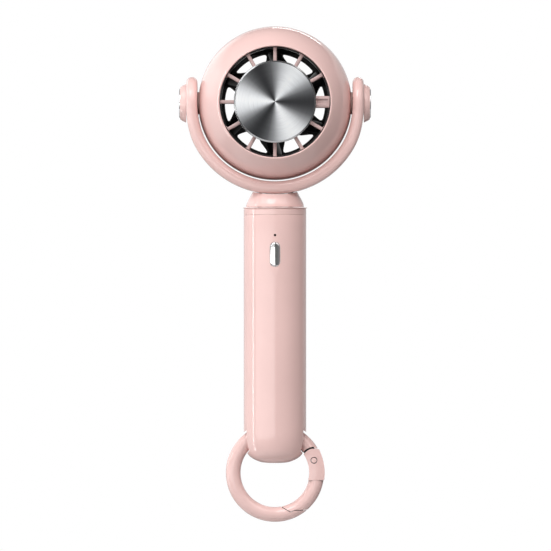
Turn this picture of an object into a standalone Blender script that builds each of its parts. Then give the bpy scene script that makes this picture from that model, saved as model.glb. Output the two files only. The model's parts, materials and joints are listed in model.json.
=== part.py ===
"""Handheld electric fan: a ball shaped fan head that tilts in a U shaped yoke
on a round handle, with a sprung-gate ring through the foot of the handle.

Units are metres, +Z runs up the handle, +X is to the right of someone who
looks at the front of the fan, and the front faces -Y.  The origin is the
middle of the grip, on the handle's axis.
Every length below is in millimetres and is scaled once, by MM.
"""
import math

import bmesh
import bpy
from mathutils import Euler, Matrix, Vector

MM = 0.001
GAP = 0.3                      # clearance kept between neighbouring pieces

# ------------------------------------------------------------------ handle
HANDLE_R = 15.0
HANDLE_WALL = 2.0
HANDLE_TOP = 57.65             # where the tube meets the collar
HANDLE_BOTTOM = -61.3
CAVITY_FLOOR = -39.5
COLLAR_TOP = 61.3
COLLAR_LIP_R = 15.5
NECK_R = 13.85
BUTTON_Z, BUTTON_W, BUTTON_H = 38.8, 4.9, 11.8
BUTTON_TRAVEL = 0.5
LED_Z = 48.0
PORT_Z = 42.0
CELL_R, CELL_LEN = 9.1, 65.0   # 18650 size cell

# -------------------------------------------------------------------- head
HEAD_Z = 111.4                 # height of the tilt axis
BALL_R = 36.9
BALL_WALL = 2.0
FRONT_H = 25.0                 # front opening plane, measured forward of the axis
REAR_H = 17.0                  # rear opening plane, measured behind the axis
SEAM_H = 7.0                   # front and rear shells meet here, behind the axis
DUCT_R = 26.45
PLATE_R = 19.6
PLATE_FRONT = 26.8
RIB_COUNT = 12
RIB_W = 1.7
RIB_FRONT, RIB_BACK = 22.5, 13.5
WIRE_RIB_W = 5.6
GUARD_FRONT, GUARD_BACK = -8.0, -10.5
BLADE_COUNT = 6
BLADE_TIP_R = 24.8

# -------------------------------------------------------------------- yoke
YOKE_OUT, YOKE_IN = 43.6, 37.6
ARM_OUT, ARM_IN = 42.6, 37.2
ARM_DISC_R = 12.6
BAND_HALF_W = 11.5
PIN_R = 3.0
PIVOT_LAND = 35.5              # flat land on the ball under each arm

# -------------------------------------------------------------------- ring
RING_C = -65.95
RING_MID_R = 20.06
RING_TUBE_R = 3.55
SLOT_IN_R, SLOT_OUT_R = 16.2, 24.6
SLOT_HALF_W = 6.3
HINGE_X, HINGE_Z = 18.7, -59.95
KNUCKLE_R = 5.6
GATE_TIP_D = 27.0              # gate tip's sweep radius about its pin
SHELF_R = 20.3

for ob in list(bpy.data.objects):
    bpy.data.objects.remove(ob, do_unlink=True)

PARTS = bpy.data.collections.new("handheld_electric_fan")
CUTTERS = bpy.data.collections.new("cutters")
for coll in (PARTS, CUTTERS):
    bpy.context.scene.collection.children.link(coll)


# ============================================================== small tools
def material(name, colour, rough, metal=0.0, alpha=1.0):
    mat = bpy.data.materials.new(name)
    mat.use_nodes = True
    bsdf = mat.node_tree.nodes["Principled BSDF"]
    bsdf.inputs["Base Color"].default_value = (*colour, 1.0)
    bsdf.inputs["Roughness"].default_value = rough
    bsdf.inputs["Metallic"].default_value = metal
    bsdf.inputs["Alpha"].default_value = alpha
    mat.diffuse_color = (*colour, 1.0)
    return mat


PINK = (0.84, 0.56, 0.52)
COL = {
    "pink": (PINK, 0.16, 0.0),
    "black": ((0.018, 0.017, 0.018), 0.35, 0.0),
    "steel": ((0.62, 0.62, 0.63), 0.28, 1.0),
    "brushed": ((0.70, 0.69, 0.68), 0.32, 1.0),
    "chrome": ((0.80, 0.80, 0.80), 0.08, 1.0),
    "copper": ((0.72, 0.38, 0.22), 0.35, 1.0),
    "white": ((0.85, 0.85, 0.83), 0.4, 0.0),
    "board": ((0.03, 0.22, 0.10), 0.5, 0.0),
    "cell": ((0.12, 0.35, 0.62), 0.35, 0.0),
    "foam": ((0.10, 0.10, 0.10), 0.95, 0.0),
    "clear": ((0.90, 0.92, 0.92), 0.1, 0.0),
    "alu": ((0.72, 0.73, 0.74), 0.4, 1.0),
    "grey": ((0.25, 0.25, 0.26), 0.5, 0.0),
    "ceramic": ((0.86, 0.84, 0.80), 0.6, 0.0),
}


def place(name, mesh, colour, cutter=False):
    ob = bpy.data.objects.new(name, mesh)
    (CUTTERS if cutter else PARTS).objects.link(ob)
    if cutter:
        ob.hide_render = True
        ob.display_type = 'WIRE'
    else:
        rgb, rough, metal = COL[colour]
        mesh.materials.append(material(name, rgb, rough, metal))
    return ob


def finish_round(ob, angle=34.0):
    ob.data.shade_smooth()
    ob.data.set_sharp_from_angle(angle=math.radians(angle))
    return ob


AXIS_ROT = {"Z": (0.0, 0.0, 0.0),
            "front": (math.pi / 2, 0.0, 0.0),       # local +Z points to -Y
            "X": (0.0, math.pi / 2, 0.0),           # local +Z points to +X
            "-X": (0.0, -math.pi / 2, 0.0)}


def turned(name, pts, colour="pink", steps=32, axis="Z", at=(0, 0, 0),
           closed=True, cutter=False, spin=0.0):
    """Profile of (radius, height) points, swept once round with Screw.
    The outer side runs from top to bottom.  spin turns the first facet."""
    mesh = bpy.data.meshes.new(name)
    verts = [(r * MM, 0.0, h * MM) for r, h in pts]
    edges = [(i, i + 1) for i in range(len(pts) - 1)]
    if closed:
        edges.append((len(pts) - 1, 0))
    mesh.from_pydata(verts, edges, [])
    ob = place(name, mesh, colour, cutter)
    ob.matrix_world = (Matrix.Translation(Vector(at) * MM)
                       @ Euler(AXIS_ROT[axis]).to_matrix().to_4x4()
                       @ Matrix.Rotation(math.radians(spin), 4, 'Z'))
    mod = ob.modifiers.new("turn", 'SCREW')
    mod.axis = 'Z'
    mod.angle = 2 * math.pi
    mod.steps = mod.render_steps = steps
    mod.use_merge_vertices = True
    mod.merge_threshold = 0.00001
    mod.use_smooth_shade = True
    return ob


def cylinder(name, r, h0, h1, colour="pink", steps=20, axis="Z", at=(0, 0, 0),
             cutter=False, spin=0.0):
    return turned(name, [(0, h1), (r, h1), (r, h0), (0, h0)], colour, steps,
                  axis, at, closed=False, cutter=cutter, spin=spin)


def tube(name, r0, r1, h0, h1, colour="pink", steps=24, axis="Z",
         at=(0, 0, 0), cutter=False):
    return turned(name, [(r0, h1), (r1, h1), (r1, h0), (r0, h0)], colour,
                  steps, axis, at, cutter=cutter)


def box(name, lo, hi, colour="pink", bevel=0.0, cutter=False, segs=1):
    """A cube primitive between two corners, with its edges bevelled."""
    mesh = bpy.data.meshes.new(name)
    bm = bmesh.new()
    bmesh.ops.create_cube(bm, size=1.0)
    size = [(hi[i] - lo[i]) * MM for i in range(3)]
    mid = [(hi[i] + lo[i]) * 0.5 * MM for i in range(3)]
    bmesh.ops.scale(bm, vec=size, verts=bm.verts)
    bmesh.ops.translate(bm, vec=mid, verts=bm.verts)
    bm.to_mesh(mesh)
    bm.free()
    ob = place(name, mesh, colour, cutter)
    if bevel:
        mod = ob.modifiers.new("edges", 'BEVEL')
        mod.width = bevel * MM
        mod.segments = segs
        mod.limit_method = 'ANGLE'
    return ob


def plate(name, outlines, y0, y1, colour="pink", cutter=False):
    """Flat outline(s) in the XZ plane, extruded from y0 to y1.  The first
    outline is the edge and the others are holes."""
    cu = bpy.data.curves.new(name + "_outline", 'CURVE')
    cu.dimensions = '2D'
    cu.fill_mode = 'BOTH'
    cu.extrude = (y1 - y0) * 0.5 * MM
    for pts in outlines:
        sp = cu.splines.new('POLY')
        sp.points.add(len(pts) - 1)
        for p, (x, z) in zip(sp.points, pts):
            p.co = (x * MM, z * MM, 0.0, 1.0)
        sp.use_cyclic_u = True
    cob = bpy.data.objects.new(name + "_outline", cu)
    CUTTERS.objects.link(cob)
    cob.rotation_euler = (math.pi / 2, 0.0, 0.0)
    cob.location = (0.0, (y0 + y1) * 0.5 * MM, 0.0)
    bpy.context.view_layer.update()
    dg = bpy.context.evaluated_depsgraph_get()
    mesh = bpy.data.meshes.new_from_object(cob.evaluated_get(dg))
    bm = bmesh.new()
    bm.from_mesh(mesh)
    bmesh.ops.remove_doubles(bm, verts=bm.verts, dist=1e-6)
    bmesh.ops.recalc_face_normals(bm, faces=bm.faces)
    bm.to_mesh(mesh)
    bm.free()
    ob = place(name, mesh, colour, cutter)
    ob.matrix_world = cob.matrix_world.copy()
    bpy.data.objects.remove(cob, do_unlink=True)
    return ob


def loft(name, rings, colour="pink", cutter=False):
    """Skin between sections that have equal point counts, with end caps."""
    mesh = bpy.data.meshes.new(name)
    bm = bmesh.new()
    rows = [[bm.verts.new(Vector(p) * MM) for p in ring] for ring in rings]
    n = len(rows[0])
    for a, b in zip(rows, rows[1:]):
        for i in range(n):
            j = (i + 1) % n
            bm.faces.new((a[i], a[j], b[j], b[i]))
    bm.faces.new(rows[0])
    bm.faces.new(rows[-1])
    bmesh.ops.recalc_face_normals(bm, faces=bm.faces)
    bm.to_mesh(mesh)
    bm.free()
    return place(name, mesh, colour, cutter)


def joined(name, parts, colour="pink", cutter=True):
    """Several closed solids that do not touch, in one mesh, for one boolean."""
    bm = bmesh.new()
    dg = bpy.context.evaluated_depsgraph_get()
    for ob in parts:
        me = bpy.data.meshes.new_from_object(ob.evaluated_get(dg))
        me.transform(ob.matrix_world)
        bm.from_mesh(me)
        bpy.data.meshes.remove(me)
    mesh = bpy.data.meshes.new(name)
    bm.to_mesh(mesh)
    bm.free()
    for ob in parts:
        bpy.data.objects.remove(ob, do_unlink=True)
    return place(name, mesh, colour, cutter)


def boolean(ob, other, op='DIFFERENCE'):
    mod = ob.modifiers.new(op.lower(), 'BOOLEAN')
    mod.operation = op
    mod.solver = 'EXACT'
    mod.object = other
    return ob


def arc(cx, cz, r, a0, a1, n):
    """n + 1 points on a circle, from angle a0 to a1 in degrees."""
    out = []
    for i in range(n + 1):
        a = math.radians(a0 + (a1 - a0) * i / n)
        out.append((cx + r * math.cos(a), cz + r * math.sin(a)))
    return out


def stadium(cx, cz, w, h, n=6):
    """Outline of a slot of width w and height h, standing upright when h > w
    and lying when w > h."""
    if h >= w:
        r = w / 2
        return (arc(cx, cz + h / 2 - r, r, 0, 180, n)
                + arc(cx, cz - h / 2 + r, r, 180, 360, n))
    r = h / 2
    return (arc(cx + w / 2 - r, cz, r, -90, 90, n)
            + arc(cx - w / 2 + r, cz, r, 90, 270, n))


def sphere_run(r, h_top, h_bot, n):
    """Points of a sphere's profile from one height down to another."""
    a0, a1 = math.asin(h_top / r), math.asin(h_bot / r)
    return [(r * math.cos(a0 + (a1 - a0) * i / n),
             r * math.sin(a0 + (a1 - a0) * i / n)) for i in range(n + 1)]


def smooth(t):
    t = max(0.0, min(1.0, t))
    return t * t * (3 - 2 * t)


# =================================================================== handle
foot = [(15.0, -47.5), (14.8, -50.5), (14.35, -53.5), (13.7, -56.0),
        (12.4, -57.7), (10.7, -59.0), (8.6, -60.2), (6.25, -61.0),
        (4.4, HANDLE_BOTTOM), (0.0, HANDLE_BOTTOM)]
handle = turned("handle_shell",
                [(0.0, CAVITY_FLOOR), (13.0, CAVITY_FLOOR),
                 (13.0, HANDLE_TOP), (HANDLE_R - 0.2, HANDLE_TOP),
                 (HANDLE_R, HANDLE_TOP - 0.2)] + foot,
                "pink", 32, closed=False)
ring_slot = plate("ring_slot_cut",
                  [arc(0, RING_C, SLOT_OUT_R, 14, 166, 20)
                   + arc(0, RING_C, SLOT_IN_R, 166, 14, 20)],
                  -SLOT_HALF_W, SLOT_HALF_W, cutter=True)
boolean(handle, ring_slot)
boolean(handle, plate("button_hole_cut",
                      [stadium(0, BUTTON_Z, BUTTON_W + 0.6, BUTTON_H + 0.6)],
                      -17, -9, cutter=True))
boolean(handle, cylinder("led_hole_cut", 0.6, 9, 17, steps=12, axis="front",
                         at=(0, 0, LED_Z), cutter=True))
boolean(handle, plate("port_hole_cut", [stadium(0, PORT_Z, 9.6, 3.9)],
                      9, 17, cutter=True))

SCREW_X = 7.5
collar = turned("top_collar",
                [(4.0, COLLAR_TOP), (COLLAR_LIP_R, COLLAR_TOP),
                 (COLLAR_LIP_R, 60.9), (HANDLE_R, 60.9),
                 (HANDLE_R, HANDLE_TOP + GAP), (12.7, HANDLE_TOP + GAP),
                 (12.7, 52.2), (11.2, 52.2), (11.2, 59.3), (4.0, 59.3)],
                "pink", 28)
neck = turned("neck_dome",
              [(4.0, 71.0), (9.0, 71.0), (10.75, 68.7), (11.75, 66.9),
               (12.7, 65.0), (13.45, 63.2), (NECK_R, COLLAR_TOP + GAP),
               (4.0, COLLAR_TOP + GAP)],
              "pink", 24)
boolean(neck, cylinder("neck_saddle_cut", YOKE_OUT + GAP, -20, 20, steps=72,
                       axis="front", at=(0, 0, HEAD_Z), cutter=True))
screw_holes = joined("neck_screw_holes_cut", [
    cylinder("nsh_a", 1.6, 56, 72.6, steps=12, at=(-SCREW_X, 0, 0), cutter=True),
    cylinder("nsh_b", 1.6, 56, 72.6, steps=12, at=(SCREW_X, 0, 0), cutter=True)])
boolean(collar, screw_holes)
boolean(neck, screw_holes)
for side, x in (("left", -SCREW_X), ("right", SCREW_X)):
    turned("neck_screw_" + side,
           [(0, 72.2), (1.3, 72.2), (1.3, 59.0), (2.6, 59.0), (2.6, 57.6),
            (2.1, 57.2), (0, 57.2)], "steel", 12, at=(x, 0, 0), closed=False)

# ------------------------------------------- battery, board and the controls
cell_z = -38.0
turned("battery_cell",
       [(0, cell_z + CELL_LEN), (3.0, cell_z + CELL_LEN),
        (3.0, cell_z + CELL_LEN - 1.0), (CELL_R - 0.4, cell_z + CELL_LEN - 1.0),
        (CELL_R, cell_z + CELL_LEN - 1.4), (CELL_R, cell_z),
        (0, cell_z)], "cell", 20, closed=False)
cylinder("battery_foot_pad", 12.0, -39.2, -38.4, "foam", 20)
chassis = tube("battery_chassis", 9.5, 11.2, -38.1, 28.4, "black", 20)
boolean(chassis, box("chassis_front_cut", (-14, -14, -45), (14, -3.0, 45),
                     cutter=True))
boolean(chassis, cylinder("chassis_deck", 12.6, 27.5, 29.2, steps=20,
                          cutter=True), 'UNION')
board = box("circuit_board", (-8.0, 0.6, 29.6), (8.0, 2.0, 51.6), "board")
switch = box("tact_switch", (-3.0, -3.2, BUTTON_Z - 3.0),
             (3.0, 0.3, BUTTON_Z + 3.0), "grey", 0.25)
boolean(switch, cylinder("switch_stem", 1.7, 3.0, 5.6, steps=16, axis="front",
                         at=(0, 0, BUTTON_Z), cutter=True), 'UNION')
box("indicator_led", (-0.9, -0.5, LED_Z - 0.6), (0.9, 0.3, LED_Z + 0.6),
    "white", 0.1)
cylinder("led_light_pipe", 1.4, 0.9, 12.3, "clear", 16, axis="front",
         at=(0, 0, LED_Z))

cap = plate("button_cap", [stadium(0, BUTTON_Z, BUTTON_W, BUTTON_H)],
            -15.5, -11.0, "chrome")
mod = cap.modifiers.new("edges", 'BEVEL')
mod.width = 0.35 * MM
mod.segments = 1
mod.limit_method = 'ANGLE'
mod.angle_limit = math.radians(50)
boolean(cap, plate("button_flange",
                   [stadium(0, BUTTON_Z, BUTTON_W + 1.7, BUTTON_H + 1.7)],
                   -12.0, -11.2, cutter=True), 'UNION')
boolean(cap, cylinder("button_stem", 1.5, 6.5, 11.6, steps=16, axis="front",
                      at=(0, 0, BUTTON_Z), cutter=True), 'UNION')

socket = plate("usb_socket", [stadium(0, PORT_Z, 8.94, 3.26)], 2.3, 13.7,
               "steel")
boolean(socket, plate("port_pocket", [stadium(0, PORT_Z, 8.3, 2.6)], 7.5, 16,
                      cutter=True))
boolean(socket, box("port_tongue", (-3.35, 6.8, PORT_Z - 0.35),
                    (3.35, 12.6, PORT_Z + 0.35), cutter=True), 'UNION')


# ===================================================================== yoke
def rounded_section(half_t, half_w, rad, per=2):
    """Rounded rectangle: half_t across the band, half_w along Y."""
    rad = min(rad, half_t * 0.98, half_w * 0.98)
    out = []
    for cx, cy, a0 in ((half_t - rad, half_w - rad, 0),
                       (-half_t + rad, half_w - rad, 90),
                       (-half_t + rad, -half_w + rad, 180),
                       (half_t - rad, -half_w + rad, 270)):
        for i in range(per + 1):
            a = math.radians(a0 + 90 * i / per)
            out.append((cx + rad * math.cos(a), cy + rad * math.sin(a)))
    return out


def yoke_station(side, deg=None, up=None):
    """Section of the band: deg below the tilt axis, or up degrees of the
    round arm end above it."""
    if up is None:
        k = 1 - smooth(deg / 30.0)
        mid = (YOKE_OUT + YOKE_IN) / 2 - 0.7 * k
        half_t = (YOKE_OUT - YOKE_IN) / 2 - 0.3 * k
        half_w = BAND_HALF_W + (ARM_DISC_R - BAND_HALF_W) * (1 - smooth(deg / 35.0))
        a = math.radians(deg)
        centre = Vector((side * mid * math.cos(a), 0, HEAD_Z - mid * math.sin(a)))
        out = Vector((side * math.cos(a), 0, -math.sin(a)))
    else:
        a = math.radians(up)
        mid = (ARM_OUT + ARM_IN) / 2
        half_t = (ARM_OUT - ARM_IN) / 2
        if up > 55:
            half_t -= 0.9 * smooth((up - 55) / 30.0)
        half_w = ARM_DISC_R * math.cos(a)
        centre = Vector((side * mid, 0, HEAD_Z + ARM_DISC_R * math.sin(a)))
        out = Vector((side, 0, 0))
    return [tuple(centre + out * u + Vector((0, v, 0)) * side)
            for u, v in rounded_section(half_t, half_w, 2.6)]


ups = [82, 68, 52, 36, 18]
stations = [yoke_station(-1, up=u) for u in ups]
stations += [yoke_station(-1, deg=d) for d in (0, 9, 18, 27, 37, 48, 59, 70, 80)]
bottom = yoke_station(1, deg=90)
half_left = yoke_station(-1, deg=90)
stations += [half_left]
stations_r = [yoke_station(1, deg=d) for d in (80, 70, 59, 48, 37, 27, 18, 9, 0)]
stations_r += [yoke_station(1, up=u) for u in reversed(ups)]


def match_order(ring, ref):
    """Reverse and turn a ring so its points follow those of its neighbour."""
    best = None
    n = len(ring)
    for cand in (ring, list(reversed(ring))):
        for s in range(n):
            rot = cand[s:] + cand[:s]
            d = sum((Vector(a) - Vector(b)).length for a, b in zip(rot, ref))
            if best is None or d < best[0]:
                best = (d, rot)
    return best[1]


prev = half_left
for ring in stations_r:
    prev = match_order(ring, prev)
    stations.append(prev)
yoke = loft("yoke", stations, "pink")
boolean(yoke, cylinder("yoke_pin_hole", PIN_R + GAP, -50, 50, steps=16,
                       axis="X", at=(0, 0, HEAD_Z), cutter=True, spin=5.3))
boolean(yoke, screw_holes)

# ------------------------------------------------- pivots, one on each side
for side, axis in (("left", "-X"), ("right", "X")):
    at = (0, 0, HEAD_Z)
    turned(side + "_pivot_knob",
           [(7.3, 45.6), (7.75, 45.45), (8.5, 44.4),
            (9.3, 42.9), (5.3, 42.9), (5.3, 44.1), (2.0, 44.1),
            (2.0, 44.9), (7.3, 44.9)], "pink", 20, axis, at)
    turned(side + "_knob_insert",
           [(0, 45.95), (6.6, 45.95), (7.0, 45.7), (7.0, 45.2), (0, 45.2)],
           "chrome", 20, axis, at, closed=False)
    turned(side + "_pivot_pin",
           [(0, 43.8), (4.9, 43.8), (4.9, 42.9), (PIN_R, 42.9),
            (PIN_R, 29.6), (0, 29.6)],
           "steel", 16, axis, at, closed=False)
    tube(side + "_friction_washer", PIN_R + GAP, 5.35, PIVOT_LAND + GAP,
         ARM_IN - 0.45, "black", 16, axis, at)
    tube(side + "_pivot_nut", 3.6, 5.4, 30.6, 32.2, "steel", 6, axis, at)

# ===================================================================== head
HC = (0, 0, HEAD_Z)
shell_in = BALL_R - BALL_WALL
front = turned("head_front_shell",
               [(26.75, FRONT_H), (27.25, FRONT_H - 0.15)]
               + sphere_run(BALL_R, FRONT_H - 0.6, -SEAM_H, 8)
               + list(reversed(sphere_run(shell_in, 21.2, -SEAM_H, 4)))
               + [(27.75, 21.1), (27.75, 14.0), (DUCT_R, 14.0),
                  (DUCT_R, FRONT_H - 0.35)],
               "pink", 36, "front", HC)
SCREW_RAD = 30.6
BOSS_ANGLES = (45, 135, 225, 315)


def polar(r, deg):
    a = math.radians(deg)
    return r * math.cos(a), r * math.sin(a)


def spoke_box(name, r0, r1, width, h0, h1, deg, cutter=True):
    """Box that runs out from the head's axis at an angle."""
    mesh = bpy.data.meshes.new(name)
    bm = bmesh.new()
    bmesh.ops.create_cube(bm, size=1.0)
    bmesh.ops.scale(bm, vec=((r1 - r0) * MM, (h1 - h0) * MM, width * MM),
                    verts=bm.verts)
    bmesh.ops.translate(bm, vec=((r0 + r1) * 0.5 * MM, -(h0 + h1) * 0.5 * MM, 0),
                        verts=bm.verts)
    bmesh.ops.rotate(bm, cent=(0, 0, 0), verts=bm.verts,
                     matrix=Matrix.Rotation(-math.radians(deg), 3, 'Y'))
    bmesh.ops.translate(bm, vec=(0, 0, HEAD_Z * MM), verts=bm.verts)
    bm.to_mesh(mesh)
    bm.free()
    return place(name, mesh, "pink", cutter)


bosses, webs, pilots, rear_bosses, bores, through = [], [], [], [], [], []
for i, deg in enumerate(BOSS_ANGLES):
    x, z = polar(SCREW_RAD, deg)
    at = (x, 0, HEAD_Z + z)
    bosses.append(cylinder("fb%d" % i, 2.4, -6.9, 2.0, steps=10, axis="front",
                           at=at, cutter=True))
    webs.append(spoke_box("fw%d" % i, SCREW_RAD + 1.2, 35.3, 1.6, -6.8, 1.9, deg))
    pilots.append(cylinder("fp%d" % i, 1.3, -8.0, 1.4, steps=10, axis="front",
                           at=at, cutter=True))
    rear_bosses.append(cylinder("rb%d" % i, 2.6, -12.5, -7.35, steps=10,
                                axis="front", at=at, cutter=True))
    bores.append(cylinder("rc%d" % i, 2.1, -19.0, -11.2, steps=10,
                          axis="front", at=at, cutter=True))
    through.append(cylinder("rt%d" % i, 1.3, -12.0, -6.5, steps=10,
                            axis="front", at=at, cutter=True))
    turned("head_screw_%d" % (i + 1),
           [(0, 0.9), (1.0, 0.4), (1.0, -11.5), (1.8, -11.5),
            (1.8, -12.9), (0, -12.9)], "steel", 10, "front", at,
           closed=False)
bpy.context.view_layer.update()
boolean(front, joined("front_bosses", bosses), 'UNION')
boolean(front, joined("front_webs", webs), 'UNION')
boolean(front, joined("front_pilots", pilots))
pivot_bosses = joined("pivot_bosses", [
    cylinder("pb_l", 6.4, 32.5, 35.4, steps=20, axis="-X", at=HC, cutter=True),
    cylinder("pb_r", 6.4, 32.5, 35.4, steps=20, axis="X", at=HC, cutter=True)])
bpy.context.view_layer.update()
boolean(front, pivot_bosses, 'UNION')
boolean(front, joined("pivot_lands", [
    cylinder("pl_l", 6.7, PIVOT_LAND, 41, steps=20, axis="-X", at=HC, cutter=True),
    cylinder("pl_r", 6.7, PIVOT_LAND, 41, steps=20, axis="X", at=HC, cutter=True)]))
boolean(front, joined("pivot_holes", [
    cylinder("ph_l", PIN_R + GAP, 29, 41, steps=16, axis="-X", at=HC, cutter=True,
             spin=5.3),
    cylinder("ph_r", PIN_R + GAP, 29, 41, steps=16, axis="X", at=HC, cutter=True,
             spin=5.3)]))

rear = turned("head_rear_shell",
              sphere_run(BALL_R, -SEAM_H - GAP, -16.1, 3)
              + [(32.5, -16.8), (31.8, -REAR_H), (31.1, -16.75),
                 (26.4, -10.8), (28.5, -10.8), (31.7, -14.4)]
              + list(reversed(sphere_run(shell_in, -SEAM_H - GAP, -12.8, 2))),
              "pink", 36, "front", HC)
boolean(rear, joined("rear_bosses", rear_bosses), 'UNION')
boolean(rear, joined("rear_bores", bores))
boolean(rear, joined("rear_through", through))

tube("duct_liner", DUCT_R, 27.6, -7.6, 13.6, "black", 36, "front", HC)

# ------------------------------------------------ grille and the cold plate
grille = turned("front_grille",
                [(19.2, 24.9), (19.2, 15.8), (16.6, 15.8), (16.6, 18.0),
                 (18.0, 18.0), (18.0, 24.9)], "pink", 28, "front", HC)
ribs = []
for i in range(RIB_COUNT):
    deg = i * 360.0 / RIB_COUNT
    width = WIRE_RIB_W if i == 0 else RIB_W
    ribs.append(spoke_box("rib%d" % i, 18.6, 25.95, width, RIB_BACK + 2.6,
                          RIB_FRONT, deg))
boolean(grille, joined("grille_ribs", ribs), 'UNION')
boolean(grille, tube("grille_band", 25.6, 26.15, RIB_BACK + 1.0, 20.5,
                     steps=36, axis="front", at=HC, cutter=True), 'UNION')
turned("cold_plate",
       [(0, PLATE_FRONT), (PLATE_R - 0.3, PLATE_FRONT),
        (PLATE_R, PLATE_FRONT - 0.3), (PLATE_R, 25.2), (0, 25.2)],
       "brushed", 36, "front", HC, closed=False)
box("thermoelectric_module", (-10, -24.9, HEAD_Z - 10),
    (10, -21.6, HEAD_Z + 10), "ceramic")
sink = cylinder("heat_sink", 17.6, 18.3, 21.3, "alu", 20, "front", HC)
fins = []
for i in range(-3, 4):
    x = i * 4.2
    half = math.sqrt(16.0 ** 2 - (abs(x) + 0.5) ** 2)
    fins.append(box("fin%d" % (i + 3), (x - 0.45, -18.7, HEAD_Z - half),
                    (x + 0.45, -12.4, HEAD_Z + half), cutter=True))
boolean(sink, joined("sink_fins", fins), 'UNION')

# ---------------------------------------------------------------- rear guard


def guard_window(shift):
    """Swirled window between two spokes: its trailing side leans over."""
    lead = [(15.5, 49.5), (19.7, 43.6), (21.6, 41.2), (23.3, 41.2)]
    trail = [(23.3, 80.5), (22.2, 78.2), (19.9, 70.0), (15.5, 57.0)]
    out = [polar(r, a + shift) for r, a in lead]
    out += [polar(24.1, a + shift) for a in (44, 56, 67, 78)]
    out += [polar(r, a + shift) for r, a in trail]
    return [(x, HEAD_Z + z) for x, z in out]


guard = plate("rear_guard",
              [arc(0, HEAD_Z, 27.5, 0, 360, 36)[:-1]]
              + [guard_window(60 * k) for k in range(6)],
              -GUARD_FRONT, -GUARD_BACK, "black")
boolean(guard, tube("bearing_tube", 3.5, 4.5, GUARD_FRONT - 0.8, 3.2,
                    steps=16, axis="front", at=HC, cutter=True), 'UNION')
boolean(guard, turned("guard_cap", [(0, -10.0), (13.0, -10.0), (13.0, -10.9),
                                    (12.0, -11.6), (0, -12.0)], steps=24,
                      axis="front", at=HC, closed=False, cutter=True), 'UNION')

# --------------------------------------------------------------- the motor
for tag, h0 in (("front", 0.8), ("rear", -7.2)):
    tube("bearing_" + tag, 1.3, 3.2, h0, h0 + 2.2, "steel", 12, "front", HC)
turned("motor_shaft", [(0, 4.85), (0.7, 4.85), (1.0, 4.5), (1.0, -7.4),
                       (0, -7.4)], "steel", 12, "front", HC, closed=False)
SLOTS = 6
outline = []
for k in range(SLOTS):
    c = 360.0 * k / SLOTS
    for r, a in ((6.0, -22.0), (6.0, -10.0), (7.8, -8.0), (7.8, -24.0),
                 (8.9, -24.0), (8.9, -12.0), (8.9, 0.0), (8.9, 12.0),
                 (8.9, 24.0), (7.8, 24.0), (7.8, 8.0), (6.0, 10.0),
                 (6.0, 22.0)):
        x, z = polar(r, c + a)
        outline.append((x, HEAD_Z + z))
plate("stator_core", [outline, arc(0, HEAD_Z, 4.8, 360, 0, 16)[:-1]],
      -2.8, 2.8, "copper")
tube("driver_board", 4.8, 10.4, -6.2, -5.2, "board", 20, "front", HC)
tube("magnet_ring", 9.35, 10.15, -3.4, 3.4, "grey", 24, "front", HC)
turned("rotor_bell", [(1.3, 4.9), (10.8, 4.9), (11.3, 4.4), (11.3, -4.0),
                      (10.5, -4.0), (10.5, 4.0), (1.3, 4.0)],
       "steel", 24, "front", HC)
impeller = turned("impeller",
                  [(0, 9.6), (5.0, 9.2), (9.0, 8.0), (12.0, 5.8), (13.6, 2.8),
                   (13.6, -4.6), (11.6, -4.6), (11.6, 5.2), (0, 5.2)],
                  "black", 24, "front", HC, closed=False)


def blade(k):
    """Twisted blade: leading edge in front, trailing edge behind."""
    rings = []
    for r, mid, wide in ((13.0, 83.0, 5.2), (17.0, 85.0, 5.6),
                         (21.0, 87.6, 6.0), (BLADE_TIP_R, 91.5, 6.0)):
        half = math.degrees(wide / 2 / r)
        pts = []
        for t, side in ((0, 1), (0.5, 1), (1, 1), (1, -1), (0.5, -1), (0, -1)):
            bow = 0.28 * math.sin(math.pi * t)
            ang = mid + half * (2 * t - 1) + math.degrees(
                (side * (0.55 if t == 0.5 else 0.25) + bow) / r)
            h = 5.2 - 9.2 * t + side * (0.25 if t != 0.5 else 0.3)
            x, z = polar(r, ang + 60 * k)
            pts.append((x, -h, HEAD_Z + z))
        rings.append(pts)
    return loft("blade%d" % k, rings, cutter=True)


blades = [blade(k) for k in range(BLADE_COUNT)]
bpy.context.view_layer.update()
boolean(impeller, joined("impeller_blades", blades), 'UNION')

# ===================================================================== ring
P = math.hypot(HINGE_X, HINGE_Z - RING_C)
P_DEG = math.degrees(math.atan2(HINGE_Z - RING_C, HINGE_X))


def ring_pt(r, deg):
    x, z = polar(r, deg)
    return x, RING_C + z


def crossing(r, d):
    """Angle, below the pin, at which the circle of radius d about the pin
    crosses the circle of radius r about the ring's centre."""
    c = (r * r + P * P - d * d) / (2 * r * P)
    return P_DEG - math.degrees(math.acos(max(-1.0, min(1.0, c))))


def pin_arc(d, r0, r1, n):
    """Arc about the pin between two ring radii, on the side of the nose."""
    out = []
    for i in range(n + 1):
        r = r0 + (r1 - r0) * i / n
        out.append(ring_pt(r, crossing(r, d)))
    return out


def ring_torus(name, colour="pink", cutter=False):
    bpy.ops.mesh.primitive_torus_add(
        major_segments=52, minor_segments=12, major_radius=RING_MID_R * MM,
        minor_radius=RING_TUBE_R * MM, location=(0, 0, RING_C * MM),
        rotation=(math.pi / 2, 0, 0))
    raw = bpy.context.object
    mesh = raw.data
    matrix = raw.matrix_world.copy()
    bpy.data.objects.remove(raw, do_unlink=True)
    mesh.transform(matrix)
    mesh.name = name
    return place(name, mesh, colour, cutter)


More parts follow.
